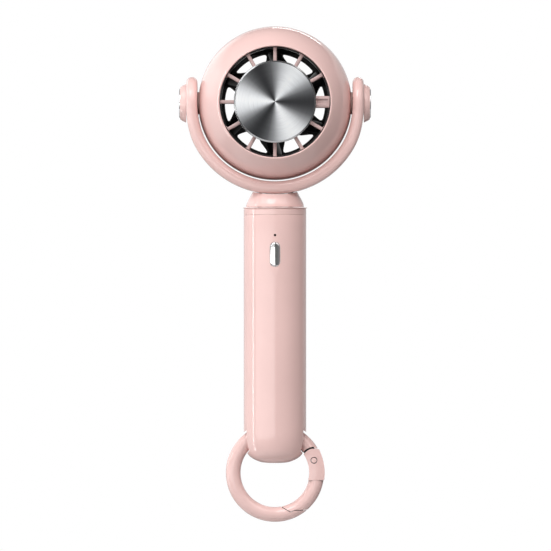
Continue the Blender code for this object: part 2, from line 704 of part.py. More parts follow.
ring = ring_torus("ring_body")
nose_out = -51.7
nose_slope = 11.1 / 3.45       # degrees per millimetre on the outer slope
edge = 0.35
frame_cut = ([ring_pt(13.5, P_DEG), ring_pt(27.0, P_DEG)]
             + [ring_pt(27.0, a) for a in (5, -10, -25)]
             + [ring_pt(27.0, nose_out + (27.0 - 23.6) * nose_slope - 0.7),
                ring_pt(SHELF_R + 0.15, nose_out - (23.6 - SHELF_R) * nose_slope - 0.7)]
             + pin_arc(GATE_TIP_D + edge, SHELF_R + 0.15, 13.5, 6)
             + [ring_pt(13.5, a) for a in (-70, -50, -30, -10, 5)])
boolean(ring, plate("ring_gate_cut", [frame_cut], -5, 5, cutter=True))
boolean(ring, cylinder("ring_knuckle_cut", KNUCKLE_R + edge, -5, 5, steps=40,
                       axis="front", at=(HINGE_X, 0, HINGE_Z), cutter=True))
# tongue that the gate's fork straddles
tx, tz = HINGE_X, HINGE_Z
ex, ez = ring_pt(RING_MID_R, 40.0)
dx, dz = ex - tx, ez - tz
dl = math.hypot(dx, dz)
ux, uz = dx / dl, dz / dl
base = math.degrees(math.atan2(uz, ux))
tongue = arc(tx, tz, 3.0, base + 90, base + 270, 14)
tongue += [(ex - uz * -2.6, ez + ux * -2.6), (ex + uz * -2.6, ez - ux * -2.6)]
boolean(ring, plate("ring_tongue", [tongue], -1.25, 1.25, cutter=True), 'UNION')
boolean(ring, cylinder("ring_pin_hole", 1.6, -6, 6, steps=16, axis="front",
                       at=(tx, 0, tz), cutter=True))

gate = ring_torus("ring_gate")
gate_poly = ([ring_pt(13.5, -3.0), ring_pt(27.0, -3.0), ring_pt(27.0, -15),
              ring_pt(27.0, -30),
              ring_pt(27.0, nose_out + (27.0 - 23.6) * nose_slope),
              ring_pt(SHELF_R - 0.15, nose_out - (23.6 - SHELF_R) * nose_slope)]
             + pin_arc(GATE_TIP_D, SHELF_R - 0.15, 13.5, 6)
             + [ring_pt(13.5, a) for a in (-70, -50, -30, -15)])
boolean(gate, plate("gate_bar_keep", [gate_poly], -5, 5, cutter=True),
        'INTERSECT')
in_r, out_r = 16.4, 24.0


def above(r):
    c = (r * r + P * P - KNUCKLE_R ** 2) / (2 * r * P)
    return P_DEG + math.degrees(math.acos(c))


p_in, p_out = ring_pt(in_r, above(in_r)), ring_pt(out_r, above(out_r))
a_in = math.degrees(math.atan2(p_in[1] - tz, p_in[0] - tx))
a_out = math.degrees(math.atan2(p_out[1] - tz, p_out[0] - tx))
block = (arc(tx, tz, KNUCKLE_R, a_in, a_out, 12)
         + [ring_pt(out_r, a) for a in (20, 13, 6, -1, -6, -10)]
         + [ring_pt(in_r, a) for a in (-10, -4, 3, 10, 18, 26)])
knuckle = plate("gate_knuckle", [block], -3.35, 3.35, cutter=True)
boolean(gate, knuckle, 'UNION')
slot_low = 3.6
fork = ([(tx - 9, tz - slot_low), (tx + 9, tz - slot_low), (tx + 9, tz + 9),
         (tx - 9, tz + 9)])
boolean(gate, plate("gate_fork_cut", [fork], -1.6, 1.6, cutter=True))
boolean(gate, cylinder("gate_pin_hole", 1.6, -6, 6, steps=16, axis="front",
                       at=(tx, 0, tz), cutter=True))
sx, sz = ring_pt(RING_MID_R, -10.0)
boolean(gate, cylinder("gate_spring_bore", 1.45, tz - slot_low - 6.6,
                       tz - slot_low + 1.0, steps=16, at=(19.5, 0, 0),
                       cutter=True))
cylinder("gate_pin", 1.3, -3.3, 3.3, "steel", 14, "front", (tx, 0, tz))

# coil spring in the gate's bore, which pushes on the tongue
turns, per_turn, wire_r = 3, 8, 0.17
cu = bpy.data.curves.new("gate_spring_path", 'CURVE')
cu.dimensions = '3D'
cu.bevel_depth = wire_r * MM
cu.bevel_resolution = 2
cu.use_fill_caps = True
sp = cu.splines.new('POLY')
n = turns * per_turn
sp.points.add(n)
z_top, z_low = tz - slot_low + 0.1, tz - slot_low - 6.0
for i in range(n + 1):
    a = 2 * math.pi * i / per_turn
    t = i / n
    sp.points[i].co = ((19.5 + 0.9 * math.cos(a)) * MM, 0.9 * math.sin(a) * MM,
                       (z_low + (z_top - z_low) * t) * MM, 1.0)
spring_curve = bpy.data.objects.new("gate_spring_path", cu)
CUTTERS.objects.link(spring_curve)
bpy.context.view_layer.update()
dg = bpy.context.evaluated_depsgraph_get()
mesh = bpy.data.meshes.new_from_object(spring_curve.evaluated_get(dg))
bm = bmesh.new()
bm.from_mesh(mesh)
bmesh.ops.remove_doubles(bm, verts=bm.verts, dist=1e-6)
bmesh.ops.recalc_face_normals(bm, faces=bm.faces)
bm.to_mesh(mesh)
bm.free()
spring = place("gate_spring", mesh, "steel")
spring.matrix_world = spring_curve.matrix_world.copy()
bpy.data.objects.remove(spring_curve, do_unlink=True)

# ======================================================= joints' parent rigs


def rig(name, at, children):
    """Empty on a joint's axis that carries the pieces that move with it."""
    empty = bpy.data.objects.new(name, None)
    empty.empty_display_size = 0.01
    PARTS.objects.link(empty)
    empty.location = Vector(at) * MM
    bpy.context.view_layer.update()
    for child in children:
        ob = bpy.data.objects[child]
        keep = ob.matrix_world.copy()
        ob.parent = empty
        ob.matrix_parent_inverse = empty.matrix_world.inverted()
        ob.matrix_world = keep
    return empty


head_rig = rig("head_tilt_axis", HC,
               ["head_front_shell", "head_rear_shell", "front_grille",
                "duct_liner", "cold_plate", "thermoelectric_module",
                "heat_sink", "rear_guard", "bearing_front", "bearing_rear",
                "stator_core", "driver_board"]
               + ["head_screw_%d" % i for i in (1, 2, 3, 4)])
spin_rig = rig("impeller_spin_axis", HC,
               ["impeller", "rotor_bell", "magnet_ring", "motor_shaft"])
spin_rig.parent = head_rig
spin_rig.matrix_parent_inverse = head_rig.matrix_world.inverted()
ring_rig = rig("ring_swing_axis", (0, 0, RING_C + RING_MID_R),
               ["ring_body", "gate_pin"])
gate_rig = rig("gate_hinge_axis", (tx, 0, tz), ["ring_gate", "gate_spring"])
gate_rig.parent = ring_rig
gate_rig.matrix_parent_inverse = ring_rig.matrix_world.inverted()
rig("button_slide_axis", (0, -HANDLE_R, BUTTON_Z), ["button_cap"])

for ob in PARTS.objects:
    if ob.type == 'MESH' and ob.data.polygons:
        finish_round(ob)
bpy.context.view_layer.update()
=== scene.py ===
"""Looks of the handheld fan: fine meshes, materials, studio light and camera.

Lengths in the helpers are millimetres in the part's own frame (origin in the
middle of the grip, +Z up, the fan's front faces -Y).
"""
import json
import math

import bmesh
import bpy
from mathutils import Matrix, Vector


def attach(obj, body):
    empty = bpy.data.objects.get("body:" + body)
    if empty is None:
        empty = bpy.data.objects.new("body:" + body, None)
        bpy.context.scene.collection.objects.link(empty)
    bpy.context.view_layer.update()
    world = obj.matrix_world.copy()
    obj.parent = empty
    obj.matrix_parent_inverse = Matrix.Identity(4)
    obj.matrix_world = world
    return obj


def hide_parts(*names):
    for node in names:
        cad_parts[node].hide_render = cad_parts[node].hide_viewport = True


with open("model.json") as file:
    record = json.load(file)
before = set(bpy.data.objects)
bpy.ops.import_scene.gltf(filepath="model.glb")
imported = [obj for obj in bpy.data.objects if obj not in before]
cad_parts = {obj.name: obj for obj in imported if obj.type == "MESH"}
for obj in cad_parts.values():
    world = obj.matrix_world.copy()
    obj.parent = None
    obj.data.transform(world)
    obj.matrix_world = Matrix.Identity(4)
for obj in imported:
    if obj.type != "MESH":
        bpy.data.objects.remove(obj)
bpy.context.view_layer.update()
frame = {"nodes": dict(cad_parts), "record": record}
NODES = frame["nodes"]

MM = 0.001
HEAD_Z = 111.4
HC = (0.0, 0.0, HEAD_Z)
HANDLE_TOP, COLLAR_TOP = 57.65, 61.3
BUTTON_Z, LED_Z, PORT_Z = 38.8, 48.0, 42.0
BALL_R = 36.9
RING_C, RING_MID_R, RING_TUBE_R = -65.95, 20.06, 3.55
HINGE_X, HINGE_Z = 18.7, -59.95
KNUCKLE_R, GATE_TIP_D, SHELF_R = 5.6, 27.0, 20.3


# ================================================================ mesh tools
def link(name, mesh):
    ob = bpy.data.objects.new(name, mesh)
    bpy.context.scene.collection.objects.link(ob)
    return ob


def from_bm(name, bm, recalc=True):
    if recalc:
        bmesh.ops.recalc_face_normals(bm, faces=bm.faces)
    mesh = bpy.data.meshes.new(name)
    bm.to_mesh(mesh)
    bm.free()
    return link(name, mesh)


AXES = {"Z": lambda x, y, h: (x, y, h),
        "front": lambda x, y, h: (x, -h, y),
        "X": lambda x, y, h: (h, y, -x),
        "-X": lambda x, y, h: (-h, y, x)}


def fillet(pts, n=5):
    """Polyline of (r, h) or (r, h, radius): corners with a radius become arcs."""
    out = []
    m = len(pts)
    for i, p in enumerate(pts):
        if len(p) < 3 or p[2] <= 0:
            out.append((p[0], p[1]))
            continue
        a, b = Vector(pts[i - 1][:2]), Vector(pts[(i + 1) % m][:2])
        c = Vector(p[:2])
        u, v = (a - c), (b - c)
        lu, lv = u.length, v.length
        u, v = u / lu, v / lv
        ang = u.angle(v)
        if ang > math.pi - 0.02:
            out.append((p[0], p[1]))
            continue
        cut_len = min(p[2] / math.tan(ang / 2), lu * 0.49, lv * 0.49)
        rad = cut_len * math.tan(ang / 2)
        mid = (u + v).normalized()
        cen = c + mid * (rad / math.sin(ang / 2))
        s, e = c + u * cut_len - cen, c + v * cut_len - cen
        a0 = math.atan2(s.y, s.x)
        a1 = math.atan2(e.y, e.x)
        d = a1 - a0
        while d > math.pi:
            d -= 2 * math.pi
        while d < -math.pi:
            d += 2 * math.pi
        for k in range(n + 1):
            t = a0 + d * k / n
            out.append((cen.x + rad * math.cos(t), cen.y + rad * math.sin(t)))
    return out


def subdivide(pts, step, closed):
    """Extra points along straight runs longer than step."""
    out = []
    m = len(pts)
    last = m if closed else m - 1
    for i in range(last):
        a, b = Vector(pts[i]), Vector(pts[(i + 1) % m])
        n = max(1, int(math.ceil((b - a).length / step)))
        out += [tuple(a.lerp(b, k / n)) for k in range(n)]
    if not closed:
        out.append(tuple(pts[-1]))
    return out


def spline(pts, per=6):
    """Catmull-Rom run through (r, h) points."""
    out = []
    n = len(pts)
    for i in range(n - 1):
        p0 = Vector(pts[max(i - 1, 0)])
        p1, p2 = Vector(pts[i]), Vector(pts[i + 1])
        p3 = Vector(pts[min(i + 2, n - 1)])
        for k in range(per):
            t = k / per
            out.append(tuple(0.5 * ((2 * p1) + (p2 - p0) * t
                                    + (2 * p0 - 5 * p1 + 4 * p2 - p3) * t * t
                                    + (3 * p1 - p0 - 3 * p2 + p3) * t ** 3)))
    out.append(tuple(pts[-1]))
    return out


def revolve(name, prof, steps=128, axis="Z", at=(0, 0, 0), closed=True,
            spin=0.0):
    """Profile of (radius, height) turned into a closed solid."""
    bm = bmesh.new()
    put = AXES[axis]
    rows = []
    for r, h in prof:
        if r < 1e-6:
            p = put(0, 0, h)
            rows.append([bm.verts.new([(p[j] + at[j]) * MM for j in range(3)])])
            continue
        row = []
        for k in range(steps):
            a = 2 * math.pi * k / steps + math.radians(spin)
            p = put(r * math.cos(a), r * math.sin(a), h)
            row.append(bm.verts.new([(p[j] + at[j]) * MM for j in range(3)]))
        rows.append(row)
    pairs = list(zip(rows, rows[1:]))
    if closed:
        pairs.append((rows[-1], rows[0]))
    for a, b in pairs:
        for k in range(steps):
            j = (k + 1) % steps
            if len(a) == 1 and len(b) == 1:
                break
            if len(a) == 1:
                bm.faces.new((a[0], b[j], b[k]))
            elif len(b) == 1:
                bm.faces.new((a[k], a[j], b[0]))
            else:
                bm.faces.new((a[k], a[j], b[j], b[k]))
    return from_bm(name, bm)


def rod(name, r, h0, h1, axis="Z", at=(0, 0, 0), steps=64, spin=0.0):
    return revolve(name, [(0, h1), (r, h1), (r, h0), (0, h0)], steps, axis, at,
                   closed=False, spin=spin)


def pipe(name, r0, r1, h0, h1, axis="Z", at=(0, 0, 0), steps=128, edge=0.0):
    pts = [(r0, h1, edge), (r1, h1, edge), (r1, h0, edge), (r0, h0, edge)]
    return revolve(name, fillet(pts, 3), steps, axis, at)


def loft(name, rings, closed_ends=True):
    bm = bmesh.new()
    rows = [[bm.verts.new(Vector(p) * MM) for p in ring] for ring in rings]
    n = len(rows[0])
    for a, b in zip(rows, rows[1:]):
        for i in range(n):
            j = (i + 1) % n
            bm.faces.new((a[i], a[j], b[j], b[i]))
    if closed_ends:
        bm.faces.new(rows[0])
        bm.faces.new(rows[-1])
    return from_bm(name, bm)


def plate(name, outlines, y0, y1):
    """XZ outlines (first the edge, then holes) between two Y planes."""
    cu = bpy.data.curves.new(name + "_outline", 'CURVE')
    cu.dimensions = '2D'
    cu.fill_mode = 'BOTH'
    cu.extrude = (y1 - y0) * 0.5 * MM
    for pts in outlines:
        sp = cu.splines.new('POLY')
        sp.points.add(len(pts) - 1)
        for p, (x, z) in zip(sp.points, pts):
            p.co = (x * MM, z * MM, 0.0, 1.0)
        sp.use_cyclic_u = True
    cob = bpy.data.objects.new(name + "_outline", cu)
    bpy.context.scene.collection.objects.link(cob)
    bpy.context.view_layer.update()
    dg = bpy.context.evaluated_depsgraph_get()
    mesh = bpy.data.meshes.new_from_object(cob.evaluated_get(dg))
    bpy.data.objects.remove(cob, do_unlink=True)
    bpy.data.curves.remove(cu)
    mesh.transform(Matrix.Translation((0, (y0 + y1) * 0.5 * MM, 0))
                   @ Matrix.Rotation(math.pi / 2, 4, 'X'))
    mesh.materials.clear()
    bm = bmesh.new()
    bm.from_mesh(mesh)
    bpy.data.meshes.remove(mesh)
    bmesh.ops.remove_doubles(bm, verts=bm.verts, dist=1e-6)
    return from_bm(name, bm)


def slab(name, lo, hi, edge=0.0, segs=2):
    """Block between two corners with rounded edges."""
    bm = bmesh.new()
    bmesh.ops.create_cube(bm, size=1.0)
    bmesh.ops.scale(bm, vec=[(hi[i] - lo[i]) * MM for i in range(3)],
                    verts=bm.verts)
    bmesh.ops.translate(bm, vec=[(hi[i] + lo[i]) * 0.5 * MM for i in range(3)],
                        verts=bm.verts)
    if edge:
        bmesh.ops.bevel(bm, geom=bm.edges[:], offset=edge * MM, segments=segs,
                        affect='EDGES', profile=0.5)
    return from_bm(name, bm)


def bake(ob):
    """Modifiers become the object's own mesh."""
    bpy.context.view_layer.update()
    dg = bpy.context.evaluated_depsgraph_get()
    mesh = bpy.data.meshes.new_from_object(ob.evaluated_get(dg))
    old = ob.data
    ob.modifiers.clear()
    ob.data = mesh
    bpy.data.meshes.remove(old)
    return ob


def cut(ob, other, op='DIFFERENCE', keep=False):
    mod = ob.modifiers.new("cut", 'BOOLEAN')
    mod.operation = op
    mod.solver = 'EXACT'
    mod.object = other
    bake(ob)
    if not keep:
        bpy.data.objects.remove(other, do_unlink=True)
    return ob


def merged(name, parts):
    bm = bmesh.new()
    for ob in parts:
        bm.from_mesh(ob.data)
    for ob in parts:
        bpy.data.objects.remove(ob, do_unlink=True)
    return from_bm(name, bm, recalc=False)


def soften(ob, width, segs=2, angle=38.0):
    """Small round on the sharp edges."""
    mod = ob.modifiers.new("soften", 'BEVEL')
    mod.width = width * MM
    mod.segments = segs
    mod.limit_method = 'ANGLE'
    mod.angle_limit = math.radians(angle)
    mod.miter_outer = 'MITER_ARC'
    return bake(ob)


def clean(ob, dist=2e-6):
    bm = bmesh.new()
    bm.from_mesh(ob.data)
    bmesh.ops.remove_doubles(bm, verts=bm.verts, dist=dist)
    bmesh.ops.dissolve_degenerate(bm, edges=bm.edges, dist=1e-7)
    bm.to_mesh(ob.data)
    bm.free()
    return ob


def arc(cx, cz, r, a0, a1, n):
    return [(cx + r * math.cos(math.radians(a0 + (a1 - a0) * i / n)),
             cz + r * math.sin(math.radians(a0 + (a1 - a0) * i / n)))
            for i in range(n + 1)]


def stadium(cx, cz, w, h, n=20):
    if h >= w:
        r = w / 2
        return (arc(cx, cz + h / 2 - r, r, 0, 180, n)
                + arc(cx, cz - h / 2 + r, r, 180, 360, n))
    r = h / 2
    return (arc(cx + w / 2 - r, cz, r, -90, 90, n)
            + arc(cx - w / 2 + r, cz, r, 90, 270, n))


def polar(r, deg):
    a = math.radians(deg)
    return r * math.cos(a), r * math.sin(a)


def sphere_run(r, h_top, h_bot, n):
    a0, a1 = math.asin(h_top / r), math.asin(h_bot / r)
    return [(r * math.cos(a0 + (a1 - a0) * i / n),
             r * math.sin(a0 + (a1 - a0) * i / n)) for i in range(n + 1)]


def smooth(t):
    t = max(0.0, min(1.0, t))
    return t * t * (3 - 2 * t)


# ================================================================= materials
class Graph:
    """Short hand for a procedural material on one Principled shader."""

    def __init__(self, name):
        self.mat = bpy.data.materials.new(name)
        self.mat.use_nodes = True
        self.nt = self.mat.node_tree
        self.sh = self.nt.nodes["Principled BSDF"]
        self.coord = self.nt.nodes.new("ShaderNodeTexCoord")

    def node(self, kind, **props):
        n = self.nt.nodes.new(kind)
        for k, v in props.items():
            setattr(n, k, v)
        return n

    def wire(self, a, b):
        self.nt.links.new(a, b)

    def noise(self, scale, detail=3.0, rough=0.5, vec=None, stretch=None):
        n = self.node("ShaderNodeTexNoise")
        n.inputs["Scale"].default_value = scale
        n.inputs["Detail"].default_value = detail
        n.inputs["Roughness"].default_value = rough
        src = vec if vec is not None else self.coord.outputs["Object"]
        if stretch:
            m = self.node("ShaderNodeMapping")
            m.inputs["Scale"].default_value = stretch
            self.wire(src, m.inputs["Vector"])
            src = m.outputs["Vector"]
        self.wire(src, n.inputs["Vector"])
        return n.outputs["Fac"]

    def math(self, op, a, b=None, c=None, clamp=False):
        n = self.node("ShaderNodeMath", operation=op)
        n.use_clamp = clamp
        for i, v in enumerate((a, b, c)):
            if v is None:
                continue
            if isinstance(v, (int, float)):
                n.inputs[i].default_value = v
            else:
                self.wire(v, n.inputs[i])
        return n.outputs[0]

    def ramp(self, fac, stops):
        n = self.node("ShaderNodeValToRGB")
        el = n.color_ramp.elements
        while len(el) < len(stops):
            el.new(0.5)
        for e, (pos, col) in zip(el, stops):
            e.position = pos
            e.color = (*col, 1.0) if len(col) == 3 else col
        self.wire(fac, n.inputs["Fac"])
        return n.outputs["Color"]

    def span(self, fac, lo, hi, f0=0.0, f1=1.0):
        n = self.node("ShaderNodeMapRange")
        n.inputs["From Min"].default_value = f0
        n.inputs["From Max"].default_value = f1
        n.inputs["To Min"].default_value = lo
        n.inputs["To Max"].default_value = hi
        self.wire(fac, n.inputs["Value"])
        return n.outputs["Result"]

    def mix(self, fac, a, b, mode='MIX'):
        n = self.node("ShaderNodeMix", data_type='RGBA', blend_type=mode)
        if isinstance(fac, (int, float)):
            n.inputs["Factor"].default_value = fac
        else:
            self.wire(fac, n.inputs["Factor"])
        for key, v in (("A", a), ("B", b)):
            sock = [s for s in n.inputs if s.name == key and s.type == 'RGBA'][0]
            if isinstance(v, tuple):
                sock.default_value = (*v, 1.0)
            else:
                self.wire(v, sock)
        return [s for s in n.outputs if s.type == 'RGBA'][0]

    def bump(self, height, strength, dist):
        n = self.node("ShaderNodeBump")
        n.inputs["Strength"].default_value = strength
        n.inputs["Distance"].default_value = dist
        self.wire(height, n.inputs["Height"])
        self.wire(n.outputs["Normal"], self.sh.inputs["Normal"])
        return n

    def edges(self, lo=0.52, hi=0.62):
        """1 on worn convex edges, 0 elsewhere."""
        g = self.node("ShaderNodeNewGeometry")
        return self.span(g.outputs["Pointiness"], 0.0, 1.0, lo, hi)

    def color(self, sock):
        self.wire(sock, self.sh.inputs["Base Color"])

    def rough(self, sock):
        self.wire(sock, self.sh.inputs["Roughness"])

    def set(self, **kw):
        for k, v in kw.items():
            self.sh.inputs[k.replace("_", " ")].default_value = v


def tint(c, k):
    return tuple(max(0.0, min(1.0, x * k)) for x in c)


def plastic(name, colour, rough=(0.10, 0.16), grain=0.012, vary=0.02,
            texture=900.0, depth=0.00002, wear=0.03, ior=1.5, gloss=0.5):
    g = Graph(name)
    cloud = g.noise(45.0, 3.0)
    fine = g.noise(texture, 2.0)
    base = g.ramp(g.span(cloud, 0.0, 1.0, 0.3, 0.7),
                  [(0.0, tint(colour, 1 - vary)), (1.0, tint(colour, 1 + vary))])
    speck = g.span(g.noise(2600.0, 1.0), 0.0, 1.0, 0.62, 0.80)
    base = g.mix(g.math('MULTIPLY', speck, 0.05), base, tint(colour, 0.86))
    base = g.mix(g.math('MULTIPLY', g.edges(), wear, clamp=True), base,
                 tint(colour, 1.12))
    g.color(base)
    smear = g.noise(28.0, 4.0, 0.6, stretch=(1.0, 1.0, 0.35))
    g.rough(g.span(smear, rough[0], rough[1], 0.3, 0.7))
    g.bump(fine, grain, depth)
    g.set(IOR=ior)
    if gloss != 0.5:
        g.set(Specular_IOR_Level=gloss)
    return g.mat


def metal(name, colour, rough=(0.22, 0.34), lines=0.02, stretch=(1, 1, 20),
          wear=0.2):
    g = Graph(name)
    streak = g.noise(350.0, 3.0, 0.6, stretch=stretch)
    cloud = g.noise(60.0, 3.0)
    base = g.ramp(cloud, [(0.3, tint(colour, 0.92)), (0.7, tint(colour, 1.05))])
    base = g.mix(g.math('MULTIPLY', g.edges(), wear, clamp=True), base,
                 tint(colour, 1.25))
    g.color(base)
    g.rough(g.span(streak, rough[0], rough[1], 0.3, 0.7))
    g.bump(streak, lines, 0.00003)
    g.set(Metallic=1.0)
    return g.mat


PINK = (0.84, 0.585, 0.553)
MAT = {}
MAT["pink_plastic"] = plastic("pink_plastic", PINK, rough=(0.055, 0.09))
MAT["pink_band"] = plastic("pink_band", PINK, rough=(0.085, 0.13))
# darker copy of the shell pink on the recessed ribs: painted shade of the duct
MAT["pink_grille"] = plastic("pink_grille", (0.56, 0.415, 0.40),
                             rough=(0.14, 0.22), grain=0.02)
MAT["black_plastic"] = plastic("black_plastic", (0.013, 0.0125, 0.013),
                               rough=(0.34, 0.48), grain=0.10, vary=0.12,
                               texture=1500.0, depth=0.00003, wear=0.4)
MAT["black_satin"] = plastic("black_satin", (0.016, 0.015, 0.016),
                             rough=(0.24, 0.34), grain=0.05, vary=0.12,
                             texture=1500.0, wear=0.4)
# darkened copy of the shell pink: painted shade of the gap between ball and arm
MAT["washer"] = plastic("washer_shaded_pink", (0.62, 0.45, 0.41),
                        rough=(0.45, 0.6), grain=0.2, vary=0.1, texture=1100.0)
MAT["white_plastic"] = plastic("white_plastic", (0.82, 0.82, 0.79),
                               rough=(0.3, 0.4))
MAT["light_pipe"] = plastic("light_pipe", (0.006, 0.006, 0.006),
                            rough=(0.5, 0.6), vary=0.05, gloss=0.0)
MAT["nylon_grey"] = plastic("nylon_grey", (0.22, 0.22, 0.23),
                            rough=(0.4, 0.55), grain=0.1)
MAT["cell_wrap"] = plastic("cell_wrap", (0.10, 0.32, 0.60),
                           rough=(0.2, 0.32), vary=0.06, texture=300.0,
                           grain=0.08)
MAT["plain_steel"] = metal("plain_steel", (0.58, 0.58, 0.59))
MAT["rotor_steel"] = metal("rotor_steel", (0.50, 0.50, 0.52), (0.3, 0.45))
MAT["chrome_insert"] = metal("chrome_insert", (0.78, 0.78, 0.79),
                             (0.05, 0.10), 0.004)
MAT["sink_alloy"] = metal("sink_alloy", (0.68, 0.69, 0.70), (0.35, 0.5), 0.06)
MAT["magnet"] = metal("magnet", (0.10, 0.10, 0.11), (0.5, 0.65), 0.05)


def copper():
    g = Graph("copper_winding")
    wave = g.node("ShaderNodeTexWave", wave_type='BANDS',
                  bands_direction='DIAGONAL')
    wave.inputs["Scale"].default_value = 700.0
    wave.inputs["Distortion"].default_value = 1.5
    g.wire(g.coord.outputs["Object"], wave.inputs["Vector"])
    g.color(g.ramp(wave.outputs["Fac"], [(0.2, (0.30, 0.11, 0.05)),
                                         (0.8, (0.78, 0.38, 0.20))]))
    g.rough(g.span(wave.outputs["Fac"], 0.5, 0.3))
    g.bump(wave.outputs["Fac"], 0.5, 0.0001)
    g.set(Metallic=1.0)
    return g.mat


def circuit():
    g = Graph("circuit")
    cells = g.node("ShaderNodeTexVoronoi", distance='CHEBYCHEV')
    cells.inputs["Scale"].default_value = 420.0
    g.wire(g.coord.outputs["Object"], cells.inputs["Vector"])
    track = g.span(cells.outputs["Distance"], 0.0, 1.0, 0.30, 0.34)
    base = g.mix(track, (0.012, 0.10, 0.045), (0.03, 0.20, 0.09))
    g.color(g.mix(g.math('MULTIPLY', g.noise(90.0), 0.25), base,
                  (0.01, 0.07, 0.03)))
    g.rough(g.span(track, 0.35, 0.5))
    g.bump(track, 0.2, 0.00005)
    return g.mat


def foam():
    g = Graph("foam")
    cells = g.node("ShaderNodeTexVoronoi")
    cells.inputs["Scale"].default_value = 1800.0
    g.wire(g.coord.outputs["Object"], cells.inputs["Vector"])
    g.color(g.ramp(cells.outputs["Distance"], [(0.0, (0.02, 0.02, 0.02)),
                                               (0.6, (0.07, 0.07, 0.072))]))
    g.rough(g.span(cells.outputs["Distance"], 0.85, 1.0))
    g.bump(cells.outputs["Distance"], 0.6, 0.0002)
    return g.mat


def ceramic():
    g = Graph("ceramic")
    n = g.noise(500.0, 4.0, 0.6)
    g.color(g.ramp(n, [(0.3, (0.74, 0.72, 0.67)), (0.7, (0.86, 0.84, 0.80))]))
    g.rough(g.span(n, 0.5, 0.7))
    g.bump(n, 0.2, 0.00005)
    return g.mat


def disc_coords(g):
    """Angle about the head's axis and radius, from the point's own place."""
    sep = g.node("ShaderNodeSeparateXYZ")
    g.wire(g.coord.outputs["Object"], sep.inputs["Vector"])
    z = g.math('SUBTRACT', sep.outputs["Z"], HEAD_Z * MM)
    ang = g.math('ARCTAN2', z, sep.outputs["X"])
    rad = g.math('SQRT', g.math('ADD', g.math('MULTIPLY', z, z),
                                g.math('MULTIPLY', sep.outputs["X"],
                                       sep.outputs["X"])))
    return ang, rad, sep


def brushed():
    """Metal disc turned on a lathe: fine circular lines, and broad fan-shaped bright
    and dark sectors painted into the base colour as painted reflections of the lights."""
    g = Graph("brushed_plate")
    ang, rad, sep = disc_coords(g)
    lag = g.math('MULTIPLY', g.math('SUBTRACT', 1.0, g.math('COSINE', ang)),
                 math.radians(1.3))
    # three bright and three dark sectors round the disc: painted reflections of the
    # lights, in the base colour
    reflection_lobes = g.math('COSINE', g.math(
        'MULTIPLY', g.math('SUBTRACT', g.math('ADD', ang, lag),
                           math.radians(59)), 3.0))
    t = g.span(reflection_lobes, 0.0, 1.0, -1.0, 1.0)
    painted_reflection_sectors = g.ramp(t, [(0.0, (0.045, 0.046, 0.049)), (0.25, (0.135, 0.139, 0.145)),
                        (0.5, (0.345, 0.356, 0.368)), (0.75, (0.68, 0.70, 0.72)),
                        (1.0, (0.96, 0.985, 1.0))])
    comb = g.node("ShaderNodeCombineXYZ")
    g.wire(g.math('MULTIPLY', rad, 1.0), comb.inputs["X"])
    g.wire(g.math('MULTIPLY', ang, 0.00035), comb.inputs["Y"])
    line = g.noise(5200.0, 2.0, 0.7, vec=comb.outputs["Vector"])
    coarse = g.noise(900.0, 2.0, 0.6, vec=comb.outputs["Vector"])
    shade = g.math('ADD', g.span(line, 0.93, 1.07, 0.3, 0.7),
                   g.span(coarse, -0.035, 0.035, 0.3, 0.7))
    grey = g.node("ShaderNodeCombineColor")
    for k in ("Red", "Green", "Blue"):
        g.wire(shade, grey.inputs[k])
    rim = g.span(rad, 0.0, 1.0, 18.74 * MM, 18.80 * MM)
    g.color(g.mix(rim, g.mix(1.0, painted_reflection_sectors, grey.outputs["Color"], 'MULTIPLY'),
                  (0.52, 0.53, 0.54)))
    g.rough(g.math('SUBTRACT', g.span(line, 0.36, 0.48, 0.3, 0.7),
                   g.math('MULTIPLY', rim, 0.22)))
    g.bump(line, 0.05, 0.00002)
    g.set(Metallic=1.0, Anisotropic=0.45)
    tan = g.node("ShaderNodeTangent", direction_type='RADIAL', axis='Y')
    g.wire(tan.outputs["Tangent"], g.sh.inputs["Tangent"])
    return g.mat


def button_metal():
    """Plated metal of the push button."""
    g = Graph("chrome_button")
    n = g.noise(500.0, 2.0, stretch=(1, 1, 8))
    g.color(g.ramp(n, [(0.3, (0.80, 0.80, 0.81)), (0.7, (0.88, 0.88, 0.89))]))
    g.rough(g.span(n, 0.05, 0.09, 0.3, 0.7))
    g.bump(n, 0.004, 0.00002)
    g.set(Metallic=1.0)
    return g.mat


MAT["copper_winding"] = copper()
MAT["circuit"] = circuit()
MAT["foam"] = foam()
MAT["ceramic"] = ceramic()
MAT["brushed_plate"] = brushed()
MAT["chrome_button"] = button_metal()

SLOT = {r["node"]: r["material_slot"] for r in frame["record"]["subparts"]}
for name, ob in NODES.items():
    mat = MAT.get(SLOT.get(name, ""), MAT["plain_steel"])
    if not ob.material_slots:
        ob.data.materials.append(mat)
    for s in ob.material_slots:
        s.material = mat


def finish(ob, nodes, body, slot, mat=None, angle=35.0):
    """Give a fine mesh its material, its body and the nodes it stands for."""
    clean(ob)
    ob.data.materials.clear()
    ob.data.materials.append(MAT[mat or slot])
    ob.data.shade_smooth()
    ob.data.set_sharp_from_angle(angle=math.radians(angle))
    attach(ob, body)
    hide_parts(*nodes)
    return ob


